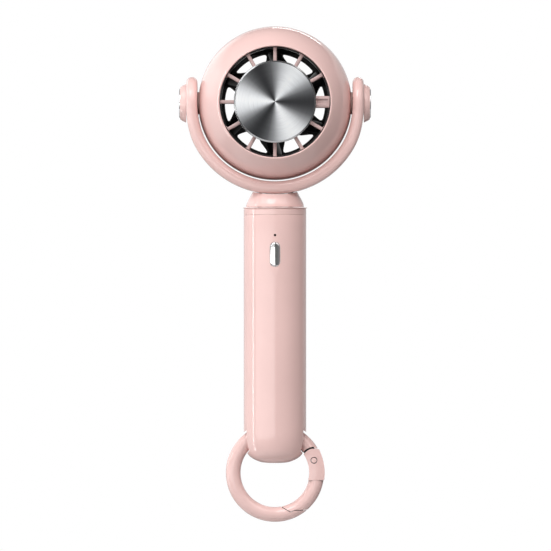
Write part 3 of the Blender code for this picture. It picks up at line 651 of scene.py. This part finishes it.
# ==================================================================== handle
foot = spline([(15.0, -46.0), (15.0, -47.5), (14.8, -50.5), (14.35, -53.5),
               (13.6, -56.0), (12.4, -57.85), (10.7, -59.15), (8.6, -60.2),
               (6.25, -60.95), (3.4, -61.25)], 4)
body_run = subdivide(fillet([(0, -39.5), (13.0, -39.5, 0.8), (13.0, 57.66, 0.12),
                             (15.0, 57.66, 0.10), (15.0, -46.0)], 4), 4.0, False)
shell = revolve("fine_handle_shell", body_run[:-1] + foot + [(0, -61.3)], 160,
                closed=False)
cut(shell, plate("c1", [arc(0, RING_C, 24.6, 14, 166, 90)
                        + arc(0, RING_C, 16.2, 166, 14, 70)], -6.3, 6.3))
cut(shell, plate("c2", [stadium(0, BUTTON_Z, 5.0, 11.95)], -17, -9))
cut(shell, rod("c3", 0.6, 9, 17, "front", (0, 0, LED_Z), 32))
cut(shell, plate("c4", [stadium(0, PORT_Z, 9.6, 3.9)], 9, 17))
soften(shell, 0.16, 2, 44)
finish(shell, ["handle_shell"], "handle", "pink_plastic")

collar = revolve("fine_top_collar", fillet(
    [(4.0, COLLAR_TOP, 0.2), (15.5, COLLAR_TOP, 0.16), (15.5, 61.0, 0.12),
     (14.85, 60.9, 0.06), (14.85, 60.62, 0.06), (15.0, 60.3, 0.28),
     (15.0, 57.72, 0.10), (12.7, 57.72, 0.05), (12.7, 52.2, 0.3),
     (11.2, 52.2, 0.2), (11.2, 59.3, 0.3), (4.0, 59.3, 0.1)], 4), 160)
neck_prof = spline([(9.0, 71.0), (9.9, 69.9), (10.75, 68.7), (11.75, 66.9),
                    (12.8, 65.0), (13.6, 63.2), (13.85, 61.9)], 5)
neck = revolve("fine_neck_dome", [(4.0, 71.0)] + neck_prof
               + [(13.8, 61.6), (4.0, 61.6)], 144)
cut(neck, rod("c5", 43.9, -20, 20, "front", HC, 300))
for ob in (collar, neck):
    holes = merged("c6", [rod("a", 1.6, 56, 72.6, at=(-7.5, 0, 0), steps=32),
                          rod("b", 1.6, 56, 72.6, at=(7.5, 0, 0), steps=32)])
    cut(ob, holes)
soften(neck, 0.14, 2, 42)
finish(collar, ["top_collar"], "handle", "pink_plastic")
finish(neck, ["neck_dome"], "handle", "pink_plastic")


# -------------------------------------------------------------------- button
def button():
    rings = []

    def ring(w, h, y):
        rings.append([(x, y, z) for x, z in stadium(0, BUTTON_Z, w, h, 24)])
    ring(2.6, 2.6, -6.5)
    ring(3.0, 3.0, -6.7)
    ring(3.0, 3.0, -11.2)
    ring(6.6, 13.5, -11.2)
    ring(6.6, 13.5, -12.0)
    ring(4.45, 11.4, -12.0)
    for k in range(7):
        a = math.radians(90 * k / 6)
        ins = 0.5 * (1 - math.cos(a))
        ring(4.45 - 2 * ins, 11.4 - 2 * ins, -15.0 - 0.42 * math.sin(a))
    for ins, dy in ((0.9, 0.035), (1.3, 0.055), (1.7, 0.068), (2.1, 0.076)):
        ring(4.45 - 2 * ins, 11.4 - 2 * ins, -15.42 - dy)
    return loft("fine_button_cap", rings)


finish(button(), ["button_cap"], "button", "chrome_button", angle=40)


# ---------------------------------------------------------------- USB socket
def usb():
    rings = []

    def ring(ins, y):
        rings.append([(x, y, z) for x, z in
                      stadium(0, PORT_Z, 8.94 - 2 * ins, 3.26 - 2 * ins, 16)])
    ring(0.12, 2.3)
    ring(0.0, 2.45)
    ring(0.0, 13.62)
    ring(0.06, 13.7)
    ring(0.26, 13.7)
    ring(0.32, 13.62)
    ring(0.32, 7.5)
    tongue = slab("t", (-3.35, 6.8, PORT_Z - 0.35), (3.35, 12.6, PORT_Z + 0.35),
                  0.12, 2)
    return cut(loft("fine_usb_socket", rings), tongue, 'UNION')


finish(usb(), ["usb_socket"], "handle", "plain_steel", angle=30)


# ====================================================================== yoke
RHO = 2.6


def band_t(d, half_t):
    d = max(0.0, min(d, RHO))
    return half_t - RHO + math.sqrt(max(0.0, RHO * RHO - (RHO - d) ** 2))


US = [-(1 - RHO * (1 - math.cos(math.radians(90 * k / 9))) / 12.0)
      for k in range(10)]
US += [US[-1] + (-2 * US[-1]) * k / 10 for k in range(1, 10)]
US += [-u for u in reversed(US[:10])]


def section(centre, out, width, thick):
    top = [centre + out * thick(width * u) + Vector((0, width * u, 0)) for u in US]
    low = [centre - out * thick(width * u) + Vector((0, width * u, 0))
           for u in reversed(US)]
    return top + low


def arm_station(side, phi):
    a = math.radians(phi)
    zc, w = 12.6 * math.sin(a), 12.6 * math.cos(a)
    return section(Vector((side * 39.9, 0, HEAD_Z + zc)),
                   Vector((side, 0, 0)), w,
                   lambda y: band_t(12.6 - math.hypot(y, zc), 2.7))


def band_station(alpha):
    deg = min(alpha - 180.0, 360.0 - alpha)
    k = 1 - smooth(deg / 30.0)
    mid, half_t = 40.6 - 0.7 * k, 3.0 - 0.3 * k
    half_w = 11.5 + 1.1 * (1 - smooth(deg / 35.0))
    a = math.radians(alpha)
    out = Vector((math.cos(a), 0, math.sin(a)))
    return section(Vector((0, 0, HEAD_Z)) + out * mid, out, half_w,
                   lambda y: band_t(half_w - abs(y), half_t))


PHIS = [89.4, 87, 84, 80.5, 76.5, 72, 67, 61.5, 55.5, 49, 42, 35, 28, 21, 14, 7]
stations = [arm_station(-1, p) for p in PHIS]
stations += [band_station(180 + 2.5 * k) for k in range(73)]
stations += [arm_station(1, p) for p in reversed(PHIS)]
yoke = loft("fine_yoke", stations)
cut(yoke, rod("c7", 3.3, -50, 50, "X", HC, 48, 1.3))
cut(yoke, merged("c8", [rod("a", 1.6, 56, 72.6, at=(-7.5, 0, 0), steps=32),
                        rod("b", 1.6, 56, 72.6, at=(7.5, 0, 0), steps=32)]))
finish(yoke, ["yoke"], "handle", "pink_band")

for side, axis in (("left", "-X"), ("right", "X")):
    knob = revolve("fine_%s_pivot_knob" % side, fillet(
        [(7.15, 45.55, 0.1), (7.75, 45.5, 0.3), (8.5, 44.4, 0.6),
         (9.3, 42.65, 0.1), (5.3, 42.65, 0.1), (5.3, 44.1, 0.1), (2.0, 44.1, 0.1),
         (2.0, 44.9, 0.1), (7.15, 44.9, 0.1)], 5), 112, axis, HC)
    finish(knob, [side + "_pivot_knob"], "handle", "pink_plastic")
    ins = revolve("fine_%s_knob_insert" % side, fillet(
        [(0, 45.95), (4.9, 45.95, 0.1), (5.15, 45.82, 0.1), (5.4, 45.95, 0.1),
         (7.0, 45.95, 0.3), (7.0, 45.05, 0.1), (0, 45.05)], 4), 96, axis, HC,
        closed=False)
    finish(ins, [side + "_knob_insert"], "handle", "chrome_insert")
    wash = pipe("fine_%s_friction_washer" % side, 3.3, 5.35, 35.6, 37.12,
                axis, HC, 80, 0.12)
    finish(wash, [side + "_friction_washer"], "handle", "washer")

# ====================================================================== head
inner = BALL_R - 2.0
lip = fillet([(26.45, 14.0), (26.45, 25.0, 0.45), (27.05, 25.0, 0.35),
              (27.68, 24.4)], 5)[1:-1]
front_prof = (lip + sphere_run(BALL_R, 24.4, -6.75, 44)
              + [(36.19, -6.92), (36.02, -7.0)]
              + [(34.25, -7.0)]
              + list(reversed(sphere_run(inner, 21.2, -6.9, 20)))
              + [(27.75, 21.1), (27.75, 14.0), (26.45, 14.0)])
front = revolve("fine_head_front_shell", front_prof, 176, "front", HC)
SCREW_RAD = 30.6
BOSS = (45, 135, 225, 315)
bosses = []
for i, deg in enumerate(BOSS):
    x, z = polar(SCREW_RAD, deg)
    bosses.append(pipe("b%d" % i, 1.3, 2.4, -6.9, 2.0, "front",
                       (x, 0, HEAD_Z + z), 32, 0.0))
cut(front, merged("cb", bosses), 'UNION')
cut(front, merged("c9", [
    rod("a", 6.4, 32.5, 35.4, "-X", HC, 64), rod("b", 6.4, 32.5, 35.4, "X", HC, 64)]),
    'UNION')
cut(front, merged("c10", [
    rod("a", 6.7, 35.5, 41, "-X", HC, 80), rod("b", 6.7, 35.5, 41, "X", HC, 80)]))
cut(front, merged("c11", [
    rod("a", 3.3, 29, 41, "-X", HC, 48, 1.7), rod("b", 3.3, 29, 41, "X", HC, 48, 1.7)]))
finish(front, ["head_front_shell"], "head", "pink_plastic", angle=32)

rear_prof = ([(36.02, -7.3), (36.17, -7.38)]
             + sphere_run(BALL_R, -7.55, -16.1, 14)
             + fillet([(33.2, -16.1), (32.5, -16.9, 0.4), (31.3, -17.0, 0.4),
                       (26.4, -10.8, 0.3), (28.5, -10.8, 0.3), (31.7, -14.4)],
                      4)[1:-1]
             + [(31.7, -14.4)]
             + list(reversed(sphere_run(inner, -7.4, -12.8, 8)))
             + [(34.1, -7.3)])
rear = revolve("fine_head_rear_shell", rear_prof, 176, "front", HC)
rb, rc, rt = [], [], []
for i, deg in enumerate(BOSS):
    x, z = polar(SCREW_RAD, deg)
    at = (x, 0, HEAD_Z + z)
    rb.append(rod("rb%d" % i, 2.6, -12.5, -7.35, "front", at, 48))
    rc.append(rod("rc%d" % i, 2.1, -19.0, -11.2, "front", at, 48))
    rt.append(rod("rt%d" % i, 1.3, -12.0, -6.5, "front", at, 32))
cut(rear, merged("rb", rb), 'UNION')
cut(rear, merged("rc", rc))
cut(rear, merged("rt", rt))
finish(rear, ["head_rear_shell"], "head", "pink_plastic", angle=32)

for i, deg in enumerate(BOSS):
    x, z = polar(SCREW_RAD, deg)
    at = (x, 0, HEAD_Z + z)
    sc = revolve("fine_head_screw_%d" % (i + 1), fillet(
        [(0, 0.9), (1.0, 0.4, 0.1), (1.0, -11.5), (1.8, -11.5, 0.1),
         (1.8, -12.3, 0.45), (0, -12.9)], 4), 48, "front", at, closed=False)
    cx = (x, 12.55, HEAD_Z + z)
    cross = cut(slab("k1", (x - 1.1, 12.25, HEAD_Z + z - 0.22),
                     (x + 1.1, 13.2, HEAD_Z + z + 0.22)),
                slab("k2", (x - 0.22, 12.25, HEAD_Z + z - 1.1),
                     (x + 0.22, 13.2, HEAD_Z + z + 1.1)), 'UNION')
    cut(sc, cross)
    finish(sc, ["head_screw_%d" % (i + 1)], "head", "plain_steel", angle=40)

liner = pipe("fine_duct_liner", 26.45, 27.6, -7.6, 13.6, "front", HC, 176, 0.2)
finish(liner, ["duct_liner"], "head", "black_plastic", mat="black_satin")


# -------------------------------------------------------------------- grille
def rib(i, r0, r1, width, h0, h1, deg, edge):
    """Blade-like rib with a rounded front edge."""
    prof = fillet([(-width / 2, h0, 0.15), (-width / 2, h1, edge),
                   (width / 2, h1, edge), (width / 2, h0, 0.15)], 5)
    rings = []
    a = math.radians(deg)
    for r in (r0, r0 + 0.2, (r0 + r1) / 2, r1 - 0.2, r1):
        rings.append([(r * math.cos(a) - t * math.sin(a), -h,
                       HEAD_Z + r * math.sin(a) + t * math.cos(a))
                      for t, h in prof])
    return loft("rib%d" % i, rings)


grille = revolve("fine_front_grille", fillet(
    [(19.2, 24.9, 0.35), (19.2, 15.8, 0.3), (16.6, 15.8, 0.2), (16.6, 18.0, 0.2),
     (18.0, 18.0, 0.2), (18.0, 24.9, 0.25)], 5), 160, "front", HC)
ribs = [rib(i, 18.6, 25.95, 5.6 if i == 0 else 1.7, 16.1, 22.5, 30.0 * i,
            0.9 if i == 0 else 0.6) for i in range(12)]
cut(grille, merged("ribs", ribs), 'UNION')
cut(grille, pipe("gb", 25.6, 26.15, 14.5, 20.5, "front", HC, 176, 0.1), 'UNION')
# channel that takes the plate's leads out through the wide rib
cut(grille, slab("ch", (19.6, -23.2, HEAD_Z - 1.35), (25.2, -21.7, HEAD_Z + 1.35),
                 0.3, 2))
finish(grille, ["front_grille"], "head", "pink_plastic", mat="pink_grille",
       angle=34)
# faces beyond 25.5 mm radius that lie between the ribs or deeper than 16 mm are painted
# black: painted shade of the duct on the pink moulding
grille.data.materials.append(MAT["black_satin"])
for poly in grille.data.polygons:
    c = poly.center / MM
    if math.hypot(c.x, c.z - HEAD_Z) > 25.5:
        deg = math.degrees(math.atan2(c.z - HEAD_Z, c.x)) % 30.0
        off = min(deg, 30.0 - deg)
        wide = 2.9 if abs(c.z - HEAD_Z) < 3.2 and c.x > 0 else 1.0
        if math.radians(off) * 26.0 > wide or -c.y < 16.0:
            poly.material_index = 1

disc = revolve("fine_cold_plate", fillet(
    [(0, 26.8), (18.75, 26.8), (18.82, 26.73), (19.5, 26.3, 0.12),
     (19.6, 25.9, 0.15), (19.6, 25.2, 0.1), (0, 25.2)], 4), 192, "front", HC,
    closed=False)
finish(disc, ["cold_plate"], "head", "brushed_plate", angle=18)


# ---------------------------------------------------------------- rear guard
def round_outline(pts, rad, n=4):
    return fillet([(x, z, rad) for x, z in pts], n)


def guard_window(shift):
    lead = [(15.5, 49.5), (17.6, 46.4), (19.7, 43.6), (21.6, 41.2)]
    trail = [(22.2, 78.2), (19.9, 70.0), (17.6, 62.5), (15.5, 57.0)]
    pts = [polar(r, a + shift) for r, a in lead]
    pts.append(polar(24.1, 39.4 + shift))
    pts += [polar(24.1, a + shift) for a in (46, 50, 54, 58, 62, 66, 70, 75)]
    pts.append(polar(24.1, 82.0 + shift))
    pts += [polar(r, a + shift) for r, a in trail]
    n = len(pts)
    out = []
    corner = {0: 0.5, 4: 1.5, 13: 1.5, n - 1: 0.5}
    for i, (x, z) in enumerate(pts):
        out.append((x, HEAD_Z + z, corner.get(i, 0.0)))
    return fillet(out, 5)


guard = plate("fine_rear_guard",
              [arc(0, HEAD_Z, 27.5, 0, 360, 160)[:-1]]
              + [guard_window(60 * k) for k in range(6)], 8.0, 10.5)
cut(guard, pipe("bt", 3.5, 4.5, -8.8, 3.2, "front", HC, 48, 0.1), 'UNION')
cut(guard, revolve("gc", fillet(
    [(0, -10.0), (13.0, -10.0), (13.0, -10.9, 0.2), (12.0, -11.6, 0.5),
     (0, -12.0)], 4), 96, "front", HC, closed=False), 'UNION')
soften(guard, 0.18, 2, 50)
finish(guard, ["rear_guard"], "head", "black_plastic", angle=40)


# ------------------------------------------------------------------ impeller
def blade(k):
    rings = []
    n = 12
    for j in range(17):
        s = j / 16
        r = 13.0 + 11.8 * s
        mid = 83.0 + 8.5 * s ** 1.25
        wide = 5.2 + 0.8 * min(1.0, s * 1.5)
        half = math.degrees(wide / 2 / r)
        tip = 1.0 - 0.10 * smooth((s - 0.85) / 0.15)
        up, low = [], []
        for i in range(n + 1):
            t = i / n
            bow = 0.28 * math.sin(math.pi * t)
            th = 0.10 + 0.42 * math.sin(math.pi * min(1.0, t * 1.02 + 0.0)) ** 0.6
            th = min(th, 0.52)
            for side, dst in ((1, up), (-1, low)):
                ang = mid + half * tip * (2 * t - 1) + math.degrees(
                    (side * th + bow) / r)
                h = 0.6 + (4.6 - 9.2 * t) * tip + side * 0.25
                x, z = polar(r, ang + 60 * k)
                dst.append((x, -h, HEAD_Z + z))
        rings.append(up + list(reversed(low)))
    return loft("blade%d" % k, rings)


imp = revolve("fine_impeller", fillet(
    [(0, 9.6), (5.0, 9.2, 3.0), (9.0, 8.0, 3.0), (12.0, 5.8, 3.0),
     (13.6, 2.8, 3.0), (13.6, -4.6, 0.3), (11.6, -4.6, 0.2), (11.6, 5.2, 0.3),
     (0, 5.2)], 6), 112, "front", HC, closed=False)
cut(imp, merged("blades", [blade(k) for k in range(6)]), 'UNION')
finish(imp, ["impeller"], "impeller", "black_plastic", mat="black_satin",
       angle=38)

# ====================================================================== ring
P = math.hypot(HINGE_X, HINGE_Z - RING_C)
P_DEG = math.degrees(math.atan2(HINGE_Z - RING_C, HINGE_X))


def ring_pt(r, deg):
    x, z = polar(r, deg)
    return x, RING_C + z


def pin_arc(d, r0, r1, n):
    out = []
    for i in range(n + 1):
        r = r0 + (r1 - r0) * i / n
        c = (r * r + P * P - d * d) / (2 * r * P)
        out.append(ring_pt(r, P_DEG - math.degrees(
            math.acos(max(-1.0, min(1.0, c))))))
    return out


def torus(name):
    bm = bmesh.new()
    rows = []
    for i in range(220):
        a = 2 * math.pi * i / 220
        row = []
        for j in range(44):
            b = 2 * math.pi * (j + 0.5) / 44
            r = RING_MID_R + RING_TUBE_R * math.cos(b)
            row.append(bm.verts.new(Vector((r * math.cos(a),
                                            RING_TUBE_R * math.sin(b),
                                            RING_C + r * math.sin(a))) * MM))
        rows.append(row)
    for i in range(220):
        a, b = rows[i], rows[(i + 1) % 220]
        for j in range(44):
            k = (j + 1) % 44
            bm.faces.new((a[j], a[k], b[k], b[j]))
    return from_bm(name, bm)


nose_out, nose_slope, edge = -51.7, 11.1 / 3.45, 0.35
ring = torus("fine_ring_body")
cut(ring, plate("rc", [
    [ring_pt(13.5, P_DEG), ring_pt(27.0, P_DEG)]
    + [ring_pt(27.0, a) for a in (5, -10, -25)]
    + [ring_pt(27.0, nose_out + (27.0 - 23.6) * nose_slope - 0.7),
       ring_pt(SHELF_R + 0.15, nose_out - (23.6 - SHELF_R) * nose_slope - 0.7)]
    + pin_arc(GATE_TIP_D + edge, SHELF_R + 0.15, 13.5, 16)
    + [ring_pt(13.5, a) for a in (-70, -50, -30, -10, 5)]], -5, 5))
cut(ring, rod("rk", KNUCKLE_R + edge, -5, 5, "front", (HINGE_X, 0, HINGE_Z), 128))
cut(ring, plate("rw", [arc(HINGE_X, HINGE_Z, KNUCKLE_R + 0.85, 90, 165, 30)
                       + arc(HINGE_X, HINGE_Z, 4.0, 165, 90, 30)], -5, 5))
soften(ring, 0.12, 2, 40)
tx, tz = HINGE_X, HINGE_Z
ex, ez = ring_pt(RING_MID_R, 40.0)
dx, dz = ex - tx, ez - tz
dl = math.hypot(dx, dz)
ux, uz = dx / dl, dz / dl
base = math.degrees(math.atan2(uz, ux))
tongue = arc(tx, tz, 3.0, base + 90, base + 270, 36)
tongue += [(ex - uz * -2.6, ez + ux * -2.6), (ex + uz * -2.6, ez - ux * -2.6)]
cut(ring, plate("rt", [tongue], -1.25, 1.25), 'UNION')


def above(r):
    c = (r * r + P * P - KNUCKLE_R ** 2) / (2 * r * P)
    return P_DEG + math.degrees(math.acos(c))


in_r, out_r = 16.4, 24.0
p_in, p_out = ring_pt(in_r, above(in_r)), ring_pt(out_r, above(out_r))
a_in = math.degrees(math.atan2(p_in[1] - tz, p_in[0] - tx))
a_out = math.degrees(math.atan2(p_out[1] - tz, p_out[0] - tx))
# shoulder behind the knuckle's gap, inside the gate's fork
cut(ring, plate("rs", [arc(tx, tz, 4.7, a_in - 7, 96, 24)
                       + arc(tx, tz, 7.3, 96, a_in - 7, 24)],
                -1.34, 1.34), 'UNION')
cut(ring, rod("rh", 1.34, -6, 6, "front", (tx, 0, tz), 48))
finish(ring, ["ring_body"], "ring", "pink_plastic", angle=38)
# faces in and round the knuckle's gap, the tongue's sides within it included, are
# painted black: painted shade of the gap
ring.data.materials.append(MAT["black_satin"])
for poly in ring.data.polygons:
    c = poly.center / MM
    near = math.hypot(c.x - tx, c.z - tz)
    turn = math.degrees(math.atan2(c.z - tz, c.x - tx))
    if 88 < turn < 160 and 4.4 < near < KNUCKLE_R + 1.9 and (
            abs(c.y) < 1.4 or (near < KNUCKLE_R + 0.88
                               and abs(poly.normal.y) < 0.5)):
        poly.material_index = 1

gate = torus("fine_ring_gate")
SEAM_Z = RING_C - 3.5          # straight seam between knuckle and gate bar
cut(gate, plate("gk", [
    [(13.0, SEAM_Z - 0.13), (27.0, SEAM_Z - 0.13), ring_pt(27.0, -15),
     ring_pt(27.0, -30),
     ring_pt(27.0, nose_out + (27.0 - 23.6) * nose_slope),
     ring_pt(SHELF_R - 0.15, nose_out - (23.6 - SHELF_R) * nose_slope)]
    + pin_arc(GATE_TIP_D, SHELF_R - 0.15, 13.5, 16)
    + [ring_pt(13.5, a) for a in (-70, -50, -30, -15)]], -5, 5), 'INTERSECT')
soften(gate, 0.16, 2, 46)
block = (arc(tx, tz, KNUCKLE_R, a_in, a_out, 48)
         + [ring_pt(23.85, a) for a in (20, 16, 12, 8, 4, 0, -4)]
         + [(math.sqrt(23.85 ** 2 - 3.5 ** 2), SEAM_Z),
            (math.sqrt(16.3 ** 2 - 3.5 ** 2), SEAM_Z)]
         + [ring_pt(in_r, a) for a in (-8, -4, 0, 4, 8, 12, 16, 20, 24)])
knuckle = plate("kn", [block], -3.4, 3.4)
soften(knuckle, 0.22, 2, 60)
cut(knuckle, slab("core", (tx - 1.75, -2.6, SEAM_Z - 1.2),
                  (tx + 3.6, 2.6, SEAM_Z + 1.0), 0.2, 2), 'UNION')
cut(gate, knuckle, 'UNION')
# hidden lap that closes the nose joint behind its seam
lap = ([ring_pt(22.4, nose_out + (22.4 - 23.6) * nose_slope - 0.72),
        ring_pt(SHELF_R + 0.1, nose_out - (23.6 - SHELF_R) * nose_slope - 0.72)]
       + pin_arc(GATE_TIP_D + 0.31, SHELF_R - 0.1, 18.0, 10)
       + [ring_pt(18.0, -60.0), ring_pt(22.4, -50.0)])
cut(gate, plate("lap", [lap], -2.2, 2.2), 'UNION')
cut(gate, plate("lap2", [pin_arc(GATE_TIP_D + 0.31, 18.6, 16.8, 8)
                         + [ring_pt(16.8, -60.0), ring_pt(18.6, -58.0)]],
                -1.1, 1.1), 'UNION')
fork = [(tx - 9, tz - 3.6), (tx + 9, tz - 3.6), (tx + 9, tz + 9), (tx - 9, tz + 9)]
cut(gate, plate("gf", [fork], -1.6, 1.6))
cut(gate, rod("gh", 1.34, -6, 6, "front", (tx, 0, tz), 48))
cut(gate, pipe("gg", 1.2, 1.62, 2.95, 6, "front", (tx, 0, tz), 48))
cut(gate, pipe("gi", 1.2, 1.62, -6, -2.95, "front", (tx, 0, tz), 48))
cut(gate, rod("gs", 1.45, tz - 10.2, tz - 2.6, at=(19.5, 0, 0), steps=40))
finish(gate, ["ring_gate"], "gate", "pink_plastic", angle=38)
# painted shade, black: the floors of the pin's counterbores, the lap's side faces
# behind the nose joint and the seam's walls
gate.data.materials.append(MAT["black_satin"])
for poly in gate.data.polygons:
    c = poly.center / MM
    near = math.hypot(c.x - tx, c.z - tz)
    r = math.hypot(c.x, c.z - RING_C)
    if (near < 1.7 and 2.9 < abs(c.y) < 3.05) or (
            near > 1.25 and near < 1.7 and abs(c.y) > 2.9 and abs(c.y) < 3.39):
        poly.material_index = 1
    elif (near > GATE_TIP_D - 4.0 and abs(c.y) < 2.25 and 16.7 < r < 22.5
          and abs(poly.normal.y) > 0.98):
        poly.material_index = 1
    elif abs(c.z - SEAM_Z + 0.06) < 0.07 and abs(c.y) < 2.7:
        poly.material_index = 1

pin = revolve("fine_gate_pin", fillet(
    [(0, 3.38), (1.28, 3.38, 0.15), (1.28, -3.38, 0.15), (0, -3.38)], 4), 64, "front",
    (tx, 0, tz), closed=False)
finish(pin, ["gate_pin"], "ring", "plain_steel", mat="pink_plastic")

# ===================================================================== stage
KEY_LOW, KEY_MID, KEY_SIDE, KEY_FRONT = 1.9, 0.65, 2.0, 6.1
LEFT, STRIP = 0.65, 15.0
RIGHT_LOW, RIGHT_HIGH = 0.07, 2.4
BACK, CORNER, ROOM = 0.55, 0.7, 0.14
WARM = (1.0, 0.94, 0.925)


def stage_material(name, colour):
    g = Graph(name)
    n = g.noise(3.0, 4.0)
    g.color(g.ramp(n, [(0.3, tint(colour, 0.985)), (0.7, tint(colour, 1.0))]))
    g.rough(g.span(n, 0.75, 0.9))
    g.set(Specular_IOR_Level=0.1)
    return g.mat


bm = bmesh.new()
bmesh.ops.create_circle(bm, cap_ends=True, radius=0.6, segments=96)
bmesh.ops.translate(bm, vec=(0, 0, -0.50), verts=bm.verts)
floor = from_bm("floor", bm)
floor.data.materials.append(stage_material("floor_paper", (0.86, 0.86, 0.86)))


def area(name, at, aim, width, height, radiance, colour=(1, 1, 1)):
    data = bpy.data.lights.new(name, 'AREA')
    data.shape = 'RECTANGLE'
    data.size, data.size_y = width, height
    data.energy = radiance * math.pi * width * height
    data.color = colour
    ob = bpy.data.objects.new(name, data)
    bpy.context.scene.collection.objects.link(ob)
    ob.location = at
    ob.rotation_euler = (Vector(aim) - Vector(at)).to_track_quat('-Z', 'Y').to_euler()
    ob.visible_camera = False
    return ob


def around(az, el, dist, centre=(0, 0, 0.06)):
    """Point at an azimuth from the front (positive to the right)."""
    a, e = math.radians(az), math.radians(el)
    return (centre[0] + dist * math.sin(a) * math.cos(e),
            centre[1] - dist * math.cos(a) * math.cos(e),
            centre[2] + dist * math.sin(e))


AIM = (0, 0, 0.06)


def panel(name, az0, az1, el0, el1, radiance, colour=(1, 1, 1), dist=1.5):
    """Soft box that fills a window of directions round the object."""
    azc, elc = (az0 + az1) / 2, (el0 + el1) / 2
    w = (2 * dist * math.tan(math.radians((az1 - az0) / 2))
         * math.cos(math.radians(elc)))
    h = 2 * dist * math.tan(math.radians((el1 - el0) / 2))
    return area(name, around(azc, elc, dist), AIM, w, h, radiance, colour)


panel("key_low", -75, 0, -14, 0, KEY_LOW)
panel("key_mid", -75, 0, 0, 30, KEY_MID)
panel("key_side", -75, -38, 30, 60, KEY_SIDE)
panel("key_front", -38, 0, 30, 60, KEY_FRONT)
panel("left_side", -125, -92, -30, 30, LEFT)
panel("right_fill", 8, 60, -14, 14, RIGHT_LOW, WARM)
panel("right_fill_mid", 8, 60, 14, 30, 1.25, WARM)
panel("right_fill_high", 8, 60, 30, 60, RIGHT_HIGH, WARM)
panel("edge_strip", -89.4, -86.9, -35, 35, STRIP)
area("back_strip", around(170, 28, 1.6), AIM, 0.55, 0.05, 7.0)

world = bpy.data.worlds.new("studio")
bpy.context.scene.world = world
world.use_nodes = True
wt = world.node_tree
wt.nodes.clear()
out = wt.nodes.new("ShaderNodeOutputWorld")
bg_room = wt.nodes.new("ShaderNodeBackground")
bg_view = wt.nodes.new("ShaderNodeBackground")
mixer = wt.nodes.new("ShaderNodeMixShader")
path = wt.nodes.new("ShaderNodeLightPath")
co = wt.nodes.new("ShaderNodeTexCoord")
sep = wt.nodes.new("ShaderNodeSeparateXYZ")
wt.links.new(co.outputs["Generated"], sep.inputs["Vector"])


def wmath(op, a, b=None):
    n = wt.nodes.new("ShaderNodeMath")
    n.operation = op
    for i, v in enumerate((a, b)):
        if v is None:
            continue
        if isinstance(v, (int, float)):
            n.inputs[i].default_value = v
        else:
            wt.links.new(v, n.inputs[i])
    return n.outputs[0]


def wstep(value, lo, hi, a, b):
    n = wt.nodes.new("ShaderNodeMapRange")
    n.interpolation_type = 'SMOOTHSTEP'
    n.inputs["From Min"].default_value = lo
    n.inputs["From Max"].default_value = hi
    n.inputs["To Min"].default_value = a
    n.inputs["To Max"].default_value = b
    wt.links.new(value, n.inputs["Value"])
    return n.outputs["Result"]


# pale backdrop behind, brighter at its upper left, and a dim room elsewhere
back = wmath('MULTIPLY', wstep(sep.outputs["Y"], 0.5, 0.62, 0.0, 1.0),
             wmath('MULTIPLY', wstep(sep.outputs["Z"], -0.2, -0.12, 0.0, 1.0),
                   wstep(sep.outputs["Z"], 0.40, 0.46, 1.0, 0.0)))
corner = wmath('MULTIPLY', wmath('MULTIPLY',
                                 wstep(sep.outputs["X"], -0.3, -0.15, 1.0, 0.0),
                                 wstep(sep.outputs["Y"], 0.2, 0.3, 0.0, 1.0)),
               wmath('MULTIPLY', wstep(sep.outputs["Z"], 0.05, 0.15, 0.0, 1.0),
                     wstep(sep.outputs["Z"], 0.50, 0.58, 1.0, 0.0)))
level = wmath('ADD', wmath('MULTIPLY', back, BACK),
              wmath('ADD', wmath('MULTIPLY', corner, CORNER), ROOM))
wt.links.new(level, bg_room.inputs["Strength"])
bg_room.inputs["Color"].default_value = (1, 1, 1, 1)
bg_view.inputs["Color"].default_value = (1, 1, 1, 1)
bg_view.inputs["Strength"].default_value = 1.0
wt.links.new(path.outputs["Is Camera Ray"], mixer.inputs["Fac"])
wt.links.new(bg_room.outputs["Background"], mixer.inputs[1])
wt.links.new(bg_view.outputs["Background"], mixer.inputs[2])
wt.links.new(mixer.outputs["Shader"], out.inputs["Surface"])

# ==================================================================== camera
cam = bpy.data.cameras.new("camera")
cam.lens = 366.0
cam.sensor_width = 36.0
cam.clip_start, cam.clip_end = 0.05, 50.0
cam_ob = bpy.data.objects.new("camera", cam)
bpy.context.scene.collection.objects.link(cam_ob)
cam_ob.location = (0.00024, -2.69, 0.0287)
cam_ob.rotation_euler = (math.pi / 2, 0, 0)
bpy.context.scene.camera = cam_ob

view = bpy.context.scene.view_settings
view.view_transform = 'Standard'
view.look = 'None'
view.exposure = 0.0
view.gamma = 1.0
